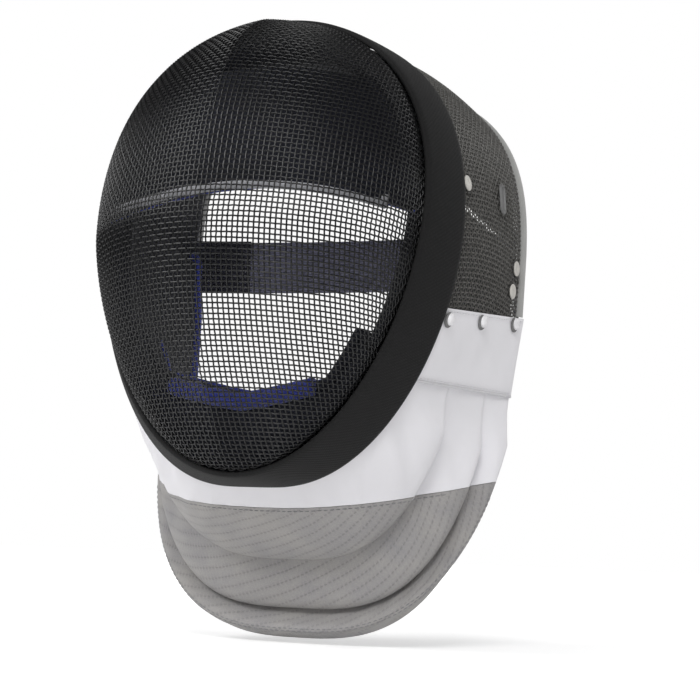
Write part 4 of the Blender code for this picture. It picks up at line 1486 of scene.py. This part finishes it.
def pad_piece(name, outer, inner, node):
    patch = Patch()
    patch.shell(outer, inner, *grid_runs(inner))
    pad = patch.piece(name, material("lining"), (node,), "lining", SOFT)
    return pad


def piping(patch, points, middle, radius):
    """Blue cord sewn along a pad's edge."""
    normals = [facing_out(Vector((0.0, 1.0, 0.0)), p, middle) for p in points]
    patch.tube(points, normals, radius, 10)


def column(grid, j):
    return [row[j] for row in grid]


def between(first, second, share):
    """Points a share of the way from one line to another."""
    return [a.lerp(b, share) for a, b in zip(first, second)]


def lining_pads(sizes):
    blue, seams = Patch(), Patch()
    middle = RIM_CENTRE + Vector((0.0, 0.08, 0.0))
    radius = sizes.piping_diameter / 2
    span = (CROWN_PAD_SPAN, CROWN_PAD_SPAN)
    outer, inner = pad_grid((-CROWN_PAD_STATION, CROWN_PAD_STATION), span, CROWN_PAD, 90, 30,
                            CROWN_PAD_RIM)
    pad_piece("crown_padding", outer, inner, "crown_pad")
    piping(blue, between(column(outer, -1), column(inner, -1), 0.75), middle, radius)
    for side, name in ((1, "left"), (-1, "right")):
        stations = tuple(side * s for s in SIDE_PAD_STATIONS)
        outer, inner = pad_grid(stations, SIDE_PAD_SPAN, SIDE_PAD, 40, 30, SIDE_PAD)
        pad_piece(f"side_padding_{name}", outer, inner, f"side_pad_{name}")
        out_edge, in_edge = column(outer, -2), column(inner, -2)
        outward = [(a - b).normalized() for a, b in zip(out_edge, in_edge)]
        blue.tube(between(out_edge, in_edge, 0.8), outward, REAR_STRIP, 14,
                  height=REAR_STRIP_DEPTH)
        edge = between(outer[0], inner[0], 0.85)
        edge = edge if side < 0 else edge[:SEAM_TAPE_POINTS]
        seams.tube(edge, outward[:1] * len(edge), SEAM_TAPE, 10, height=SEAM_TAPE_DEPTH)
        piping(blue, between(outer[0], inner[0], 0.9), middle, radius * 0.8)
    brow_padding(blue, radius)
    chin_padding(blue, radius)
    seams.piece("pad_seam_tape", material("lining"), (), "lining", ROUND)
    blue.piece("pad_piping", material("blue_piping"), (), "lining", ROUND)


def brow_point(share, x, back):
    front = BROW_PAD_FRONT + BROW_PAD_LEAN * share
    drop = BROW_PAD_ARCH * (x / 0.1) ** 2 * (1 - share / 2)
    return RIM_CENTRE + Vector((x, back - front, mix(BROW_PAD_EDGE, BROW_PAD_TOP, share) - drop))


def face_clearance(point):
    place = point - RIM_CENTRE
    x, up = place.x, place.dot(RIM_UP)
    depth = face_depth(x, up)
    step = 1e-4
    slope_x = (face_depth(x + step, up) - depth) / step
    slope_up = (face_depth(x, up + step) - depth) / step
    return (depth + place.dot(RIM_BACK)) / math.sqrt(1 + slope_x ** 2 + slope_up ** 2)


def brow_half_width(share, back):
    x = 0.02
    seat = SHEET + 0.0018 + 0.0018 * back / BROW_PAD_DEPTH
    while face_clearance(brow_point(share, x + 0.0005, back)) > seat:
        x += 0.0005
    return x


def brow_padding(blue, radius):
    """Deep pad in front of the forehead, with a pale band round its lower edge that is painted light
    standing for the dark pad's lit underside.
    """
    rows, cols = 16, 44
    outer, inner = [], []
    for i in range(rows + 1):
        share = i / rows
        fronts, backs = brow_half_width(share, 0.0), brow_half_width(share, BROW_PAD_DEPTH)
        tuck = ease(min(i, rows - i) / rows / 0.14)
        front_row, back_row = [], []
        for j in range(cols + 1):
            across = mix(-1.0, 1.0, j / cols)
            edge = ease(min(j, cols - j) / cols / 0.06)
            shrink = 0.004 * (1 - min(tuck, edge))
            front_row.append(brow_point(share, fronts * across, shrink))
            back_row.append(brow_point(share, backs * across, BROW_PAD_DEPTH - shrink))
        outer.append(front_row)
        inner.append(back_row)
    patch = Patch()
    patch.shell(outer, inner, *grid_runs(outer))
    pad = patch.piece("brow_padding", material("lining"), ("brow_pad",), "lining", SOFT)
    # Pale band along the pad's lower front edge: painted light for the lit underside of the dark pad
    tape = Patch()
    low = [a.lerp(b, 0.15) for a, b in zip(outer[0], inner[0])]
    tape.tube(low, [Vector((0.0, 0.0, 1.0))] * len(low), 0.0035, 12, height=0.0042)
    tape.piece("brow_edge_painted_light_band", material("brow_edge_painted_light"), (), "lining", ROUND)
    points = [p + Vector((0.0, 0.0, 0.0005)) for p in inner[0]]
    blue.tube(points, [Vector((0.0, 0.0, -1.0))] * len(points), radius * 0.7, 8)


def chin_padding(blue, radius):
    """Pad round the jaw that stands on the lower rim."""
    steps, sides = 64, 24
    turn = math.pi - CHIN_PAD_ANGLE
    rear = CHIN_PAD_FRONT + CHIN_PAD_DEPTH
    under = -TRIM_WALL / 2 - CLEARANCE - SHEET - PAD_GAP
    patch = Patch()
    rear_edge, front_edge = [], []
    for k in range(steps + 1):
        angle = math.pi + mix(-turn, turn, k / steps)
        x, up = rim_outline(angle)
        top = -CHIN_PAD_TOP + CHIN_PAD_ARCH * (abs(x) / CHIN_PAD_ARCH_WIDTH) ** CHIN_PAD_ARCH_POWER
        corners = [rim_point(angle, under, CHIN_PAD_FRONT)]
        highs = []
        for back, lift in ((CHIN_PAD_FRONT, -CHIN_PAD_SLOPE / 2), (rear, CHIN_PAD_SLOPE / 2)):
            height = max(top + lift, up + CHIN_PAD_END)
            place = RIM_CENTRE + Vector((x * CHIN_PAD_NARROW, 0.0, 0.0)) + RIM_UP * height
            highs.append(place + RIM_BACK * back)
        low_rear = inside_trim(angle, rear, BIB_WALL + 2 * PAD_GAP)
        low_middle = rim_point(angle, under, TUCK + CLEARANCE)
        puff = RIM_UP * 0.003
        loop = [corners[0], corners[0].lerp(highs[0], 0.35), corners[0].lerp(highs[0], 0.8),
                highs[0] + RIM_BACK * 0.003 + puff * 0.2, highs[0].lerp(highs[1], 0.3) + puff,
                highs[0].lerp(highs[1], 0.7) + puff, highs[1] - RIM_BACK * 0.003 + puff * 0.2,
                low_rear.lerp(highs[1], 0.8), low_rear.lerp(highs[1], 0.35), low_rear,
                low_middle]
        ring = smooth_loop(loop, sides)
        patch.add(ring, k * 0.004, [s * 0.003 for s in range(sides)])
        front_edge.append(loop[3])
        rear_edge.append(loop[6])
    patch.loft(0, steps + 1, sides)
    pad = patch.piece("chin_padding", material("lining"), ("chin_pad",), "lining", SOFT)
    ups = [RIM_UP] * len(front_edge)
    front = [p - RIM_BACK * 0.002 for p in front_edge if abs(p.x) < CHIN_BAND_REACH]
    blue.tube(front, ups[:len(front)], CHIN_BAND, 16, height=CHIN_BAND_DEPTH)
    black = Patch()
    for side in (1, -1):
        rest = [p - RIM_BACK * 0.002 for p in front_edge if side * p.x >= CHIN_BAND_REACH]
        black.tube(rest, ups[:len(rest)], CHIN_ROLL, 16, height=CHIN_ROLL_DEPTH)
    corner = []
    for k in range(steps + 1):
        angle = math.pi + mix(-turn, turn, k / steps)
        corner.append(rim_point(angle, -TRIM_WALL / 2 - CORNER_ROLL_SEAT, TUCK + CORNER_ROLL_BACK))
    black.tube(corner, ups, CORNER_ROLL, 12)
    black.piece("chin_roll", material("lining"), (), "lining", ROUND)
    blue.tube(rear_edge, ups, radius, 10)


def smooth_loop(points, count):
    """Closed loop resampled evenly over its own length."""
    closed = points + [points[0]]
    runs = [0.0]
    for a, b in zip(closed, closed[1:]):
        runs.append(runs[-1] + (b - a).length)
    out = []
    for k in range(count):
        run = runs[-1] * k / count
        i = min(int(np.searchsorted(runs, run, side="right")) - 1, len(points) - 1)
        share = (run - runs[i]) / max(1e-9, runs[i + 1] - runs[i])
        out.append(closed[i].lerp(closed[i + 1], share))
    return out


# Fittings

DISC_RADIUS = 0.0048
# Radius of the dark ring under a rivet's dome, which stands for a painted shadow
SHADE_RING_RADIUS = 0.0047
DOME_RADIUS = 0.0038
DOME_BASE = 0.0008
DOME_HEIGHT = 0.0022
DOME_STEPS = 9
PLATE_WIDTH = 0.008
PLATE_LENGTH = 0.020

# Turned outlines: share of the radius, height over the wall
DISC_OUTLINE = (
    (0.96, 0.0), (1.0, 0.0003), (1.0, 0.0006), (0.93, 0.0010),
    (0.6, 0.0012), (0.28, 0.0011), (0.24, 0.0008), (0.05, 0.0008),
)
# Outline of the dark ring under a rivet's dome, which stands for a painted shadow
SHADE_RING_OUTLINE = ((1.0, 0.0), (1.0, 0.0006), (0.9, 0.0011), (0.1, 0.0011))
PLATE_RINGS = ((1.0, 0.0), (1.0, 0.0008), (0.93, 0.0012), (0.55, 0.0012), (0.48, 0.0005))

# How far a rivet's dome sits off the dark ring under it, so that the ring shows on one side only, as a
# painted shadow crescent: down, back, outward
DOME_SHIFT = (0.0007, 0.0006, 0.0004)


def wall_frame(angle, share, depth):
    """Place on the wall with its outward, backward and upward directions."""
    place = crown_point(angle, share, depth)
    back = crown_point(angle, share + 0.02, depth) - crown_point(angle, share - 0.02, depth)
    step = math.copysign(0.02, angle)
    up = crown_point(angle - step, share, depth) - crown_point(angle + step, share, depth)
    outward = back.cross(up).normalized()
    if outward.x * angle < 0:
        outward = -outward
    back.normalize()
    return place, outward, back, back.cross(outward).normalized()


def turned(name, seat, radius, outline, finish, node, slot):
    """Round fitting turned from an outline of radius shares and heights."""
    place, outward, back, up = seat
    sides = 40
    patch = Patch()
    for reach, height in outline:
        ring = []
        for k in range(sides):
            turn = 2 * math.pi * k / sides
            spoke = back * math.cos(turn) + up * math.sin(turn)
            ring.append(place + spoke * radius * reach + outward * height)
        patch.add(ring)
    patch.loft(0, len(outline), sides)
    return patch.piece(name, material(finish), (node,), slot, CRISP)


def dome_outline():
    outline = [(1.0, 0.0), (1.02, DOME_BASE / 2), (1.0, DOME_BASE)]
    for k in range(1, DOME_STEPS):
        turn = math.pi / 2 * k / DOME_STEPS
        outline.append((math.cos(turn), DOME_BASE + DOME_HEIGHT * math.sin(turn)))
    return outline


def side_fittings(side, name):
    for key, degrees, share in SIDE_DISCS:
        seat = wall_frame(side * math.radians(degrees), share, -FITTING_LIFT)
        turned(f"disc_cap_{key}_{name}", seat, DISC_RADIUS, DISC_OUTLINE, "pale_disc",
               f"disc_{key}_{name}", "disc")
    for key, fall, share in BAND_RIVETS:
        angle = side * mix(BAND_ANGLE, SEAM_ANGLE, fall)
        seat = wall_frame(angle, share, -FITTING_LIFT - BAND_WALL)
        node = f"rivet_{key}_{name}"
        # Dark grey ring under each rivet's dome, set off-centre so that it shows as a painted shadow
        # crescent beside the white dome
        turned(f"rivet_shade_ring_{key}_{name}", seat, SHADE_RING_RADIUS, SHADE_RING_OUTLINE, "plate_grey_and_rivet_shade", node,
               "rivet")
        place, outward, back, up = seat
        down, rear, out = DOME_SHIFT
        seat = (place - up * down + back * rear + outward * out, outward, back, up)
        turned(f"rivet_cap_{key}_{name}", seat, DOME_RADIUS, dome_outline(), "white_rivet", node,
               "rivet")
    slot_plate(side, name)


def slot_plate(side, name):
    """Long plate with a shallow slot down its middle."""
    place, outward, back, up = wall_frame(side * PLATE_ANGLE, PLATE_SHARE, -FITTING_LIFT)
    count = 16
    patch = Patch()
    for scale, height in PLATE_RINGS:
        ring = []
        straight = PLATE_LENGTH / 2 - PLATE_WIDTH / 2
        for end in (1, -1):
            for k in range(count + 1):
                turn = math.pi * k / count
                x = end * math.cos(turn) * PLATE_WIDTH / 2 * scale
                z = end * (straight + math.sin(turn) * PLATE_WIDTH / 2 * scale)
                ring.append(place + back * x + up * z + outward * height)
        patch.add(ring)
    patch.loft(0, len(PLATE_RINGS), 2 * (count + 1))
    patch.piece(f"plate_{name}", material("plate_grey_and_rivet_shade"), (f"slot_plate_{name}",), "slot_plate",
                CRISP)


# Stage

FLOOR_DROP = 0.003
FLOOR_GLOW_NEAR = 0.10
FLOOR_GLOW_RISE = 0.55
FLOOR_GLOW_FAR = 0.95
LIGHT_TARGET = Vector((0.0, -0.03, -0.17))


def set_stage(stage):
    scene = bpy.context.scene
    lo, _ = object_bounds()
    add_floor(lo.z - FLOOR_DROP, stage)
    world = bpy.data.worlds.new("studio")
    world.use_nodes = True
    nodes, links = world.node_tree.nodes, world.node_tree.links
    ray = nodes.new("ShaderNodeLightPath")
    glossy = nodes.new("ShaderNodeMath")
    glossy.operation = "MULTIPLY_ADD"
    glossy.inputs[1].default_value = stage.reflected - stage.sky
    glossy.inputs[2].default_value = stage.sky
    seen = nodes.new("ShaderNodeMath")
    seen.operation = "MAXIMUM"
    links.new(ray.outputs["Is Glossy Ray"], glossy.inputs[0])
    links.new(ray.outputs["Is Camera Ray"], seen.inputs[0])
    links.new(glossy.outputs[0], seen.inputs[1])
    links.new(seen.outputs[0], nodes["Background"].inputs[1])
    nodes["Background"].inputs[0].default_value = (1.0, 1.0, 1.0, 1.0)
    scene.world = world
    add_light("key", (-1.1, -0.85, 0.75), 0.9, stage.key)
    add_light("fill", (0.55, -1.5, 1.0), 0.8, stage.fill)
    add_light("rim", (0.9, 1.3, 0.9), 1.2, stage.rim)
    add_light("back", (-0.3, 1.6, 0.1), 1.6, stage.back)
    scene.view_settings.view_transform = "Standard"
    add_camera()


def add_floor(level, stage):
    made = Shader("studio_floor", (0.92, 0.92, 0.92), 0.9)
    made.base.inputs["Emission Color"].default_value = (1.0, 1.0, 1.0, 1.0)
    reach = made.node("ShaderNodeVectorMath", operation="LENGTH")
    made.join(made.place(), reach.inputs[0])
    rising = made.math("MULTIPLY_ADD", reach.outputs["Value"], FLOOR_GLOW_RISE, FLOOR_GLOW_NEAR)
    rising = made.math("MINIMUM", rising, FLOOR_GLOW_FAR)
    glow = made.math("MULTIPLY", made.node("ShaderNodeLightPath").outputs["Is Camera Ray"],
                     made.math("MULTIPLY", rising, stage.floor_glow))
    made.join(glow, made.base.inputs["Emission Strength"])
    place = made.place()
    made.colour(made.tint(made.noise(place, 3.0), (0.915, 0.915, 0.915), (0.925, 0.925, 0.925)))
    size = stage.floor_size
    mesh = bpy.data.meshes.new("floor")
    corners = [(-size, -size, level), (size, -size, level), (size, size, level), (-size, size, level)]
    mesh.from_pydata(corners, [], [(0, 1, 2, 3)])
    mesh.materials.append(made.material)
    floor = bpy.data.objects.new("floor", mesh)
    bpy.context.scene.collection.objects.link(floor)
    floor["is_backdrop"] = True


def add_light(name, place, width, power):
    light = bpy.data.lights.new(name, "AREA")
    light.shape = "DISK"
    light.size = width
    light.energy = power
    lamp = bpy.data.objects.new(name, light)
    lamp.location = place
    lamp.rotation_euler = (LIGHT_TARGET - Vector(place)).to_track_quat("-Z", "Y").to_euler()
    bpy.context.scene.collection.objects.link(lamp)


def add_camera():
    a, e = LOOK_AZIMUTH, LOOK_ELEVATION
    back = Vector((math.sin(a) * math.cos(e), -math.cos(a) * math.cos(e), math.sin(e)))
    right = Vector((math.cos(a), math.sin(a), 0.0))
    up = back.cross(right)
    place = RIM_CENTRE + right * LOOK_SHIFT_ACROSS + up * LOOK_SHIFT_UP + back * LOOK_DISTANCE
    roll = LOOK_ROLL
    across = right * math.cos(roll) + up * math.sin(roll)
    upward = -right * math.sin(roll) + up * math.cos(roll)
    camera = bpy.data.cameras.new("camera")
    camera.sensor_width = SENSOR_WIDTH
    camera.lens = FOCAL_PIXELS / PICTURE_PIXELS * SENSOR_WIDTH
    camera.clip_start = CAMERA_NEAR
    body = bpy.data.objects.new("camera", camera)
    turn = Matrix((across, upward, back)).transposed().to_4x4()
    body.matrix_world = Matrix.Translation(place) @ turn
    bpy.context.scene.collection.objects.link(body)
    bpy.context.scene.camera = body


# Settings and panel

def colour(name, value, description):
    return FloatVectorProperty(name=name, description=description, subtype="COLOR", size=3,
                               min=0.0, max=1.0, default=value)


def length(name, value, description):
    return FloatProperty(name=name, description=description, default=value, min=0.0,
                         unit="LENGTH", precision=5)


class MaskSizes(bpy.types.PropertyGroup):
    """Sizes of the wire, cloth and thread"""
    face_pitch: length("Face wire pitch", 0.0031, "Distance between the wires of the face")
    wire_diameter: length("Face wire", 0.0010, "Diameter of the wires of the face")
    crown_pitch: length("Crown wire pitch", 0.0031, "Distance between the wires of the crown")
    crown_wire_diameter: length("Crown wire", 0.0010, "Diameter of the wires of the crown")
    wire_sides: IntProperty(name="Wire sides", description="Flats round a wire", default=6,
                            min=4, max=12)
    trim_puff: length("Trim puff", 0.0009, "How far the trim's padding swells")
    pleat_step: length("Pleat step", 0.0064, "How far each pleat stands over the next")
    pleat_puff: length("Pleat puff", 0.0046, "How far the cloth swells between its folds")
    bib_wrinkle: length("Bib wrinkle", 0.0024, "Depth of the soft dents in the bib")
    stitch_length: length("Stitch", 0.0026, "Length of a stitch")
    piping_diameter: length("Pad piping", 0.0034, "Diameter of the cord on the pads' edges")


class MaskColours(bpy.types.PropertyGroup):
    """Colours of the wire, cloth and fittings"""
    face_wire: colour("Face wire", (0.0035, 0.0035, 0.004), "Lacquer of the face wire")
    crown_wire: colour("Crown wire", (0.105, 0.102, 0.095), "Lacquer of the crown wire")
    trim: colour("Trim", (0.0030, 0.0028, 0.0031), "Cloth of the rim trim")
    edge_tape: colour("Edge tape", (0.34, 0.34, 0.33), "Tape on the crown's back edge")
    white_cloth: colour("White cloth", (0.82, 0.81, 0.84), "Upper cloth of the bib")
    lame: colour("Grey cloth", (0.345, 0.341, 0.360), "Conductive cloth of the bib")
    lame_warm: colour("Grey cloth, light", (0.392, 0.374, 0.352), "Lighter threads of the cloth")
    strap: colour("Strap", (0.28, 0.28, 0.39), "Elastic webbing")
    lining: colour("Lining", (0.006, 0.007, 0.014), "Cover of the pads")
    piping: colour("Piping", (0.024, 0.046, 0.420), "Cord on the pads' edges")
    # Pale colour standing for the brow pad's lit underside, as painted light
    brow_edge_painted_light: colour("Brow edge painted light", (0.62, 0.62, 0.66), "Painted light on the brow pad's lower edge")
    disc: colour("Disc", (0.62, 0.60, 0.56), "Discs on the crown's sides")
    # The plate colour also colours the dark rings under the rivet domes, which are painted shadow
    # crescents
    plate: colour("Plate", (0.16, 0.16, 0.16), "Slot plates on the crown's sides")
    rivet: colour("Rivet", (0.86, 0.85, 0.87), "Rivets of the side bands")


class MaskStage(bpy.types.PropertyGroup):
    """Light and floor"""
    key: FloatProperty(name="Key light", description="Power of the large light on the left",
                       default=13.0, min=0.0, unit="POWER")
    fill: FloatProperty(name="Fill light", description="Power of the light above the front",
                        default=15.0, min=0.0, unit="POWER")
    rim: FloatProperty(name="Rim light", description="Power of the light behind the right side",
                       default=4.0, min=0.0, unit="POWER")
    back: FloatProperty(name="Back light", description="Power of the light behind the mask",
                        default=3.0, min=0.0, unit="POWER")
    sky: FloatProperty(name="Surround", description="Light of the white surround",
                       default=0.50, min=0.0)
    reflected: FloatProperty(name="Reflected surround", default=0.04, min=0.0,
                             description="How bright the surround is in reflections")
    floor_glow: FloatProperty(name="Floor glow", default=1.0, min=0.0,
                              description="Light that keeps the far floor as pale as the surround")
    floor_size: length("Floor", 6.0, "Half the width of the floor")


STEPS = (
    "face_wire", "crown_wire", "trim", "edge_binding", "bib", "bands", "strap", "lining",
    "fittings", "stage",
)


class MASK_PT_panel(bpy.types.Panel):
    """Steps that dress the mask, in order"""
    bl_idname = "MASK_PT_panel"
    bl_label = "Fencing mask"
    bl_space_type = "VIEW_3D"
    bl_region_type = "UI"
    bl_category = "Fencing mask"

    def draw(self, context):
        layout = self.layout
        for group in (context.scene.mask_sizes, context.scene.mask_colours,
                      context.scene.mask_stage):
            box = layout.box()
            for key in group.__annotations__:
                box.prop(group, key)
        for step in STEPS:
            layout.operator(f"mask.{step}")


CLASSES = (
    MaskSizes, MaskColours, MaskStage, MASK_OT_face_wire, MASK_OT_crown_wire, MASK_OT_trim,
    MASK_OT_edge_binding, MASK_OT_bib, MASK_OT_bands, MASK_OT_strap, MASK_OT_lining,
    MASK_OT_fittings, MASK_OT_stage, MASK_PT_panel,
)


def register():
    for cls in CLASSES:
        bpy.utils.register_class(cls)
    bpy.types.Scene.mask_sizes = PointerProperty(type=MaskSizes)
    bpy.types.Scene.mask_colours = PointerProperty(type=MaskColours)
    bpy.types.Scene.mask_stage = PointerProperty(type=MaskStage)


def unregister():
    for name in ("mask_sizes", "mask_colours", "mask_stage"):
        delattr(bpy.types.Scene, name)
    for cls in reversed(CLASSES):
        bpy.utils.unregister_class(cls)


def main():
    register()
    for step in STEPS:
        if getattr(bpy.ops.mask, step)() != {"FINISHED"}:
            raise RuntimeError(f"the step {step} did not finish")


if __name__ == "__main__":
    main()
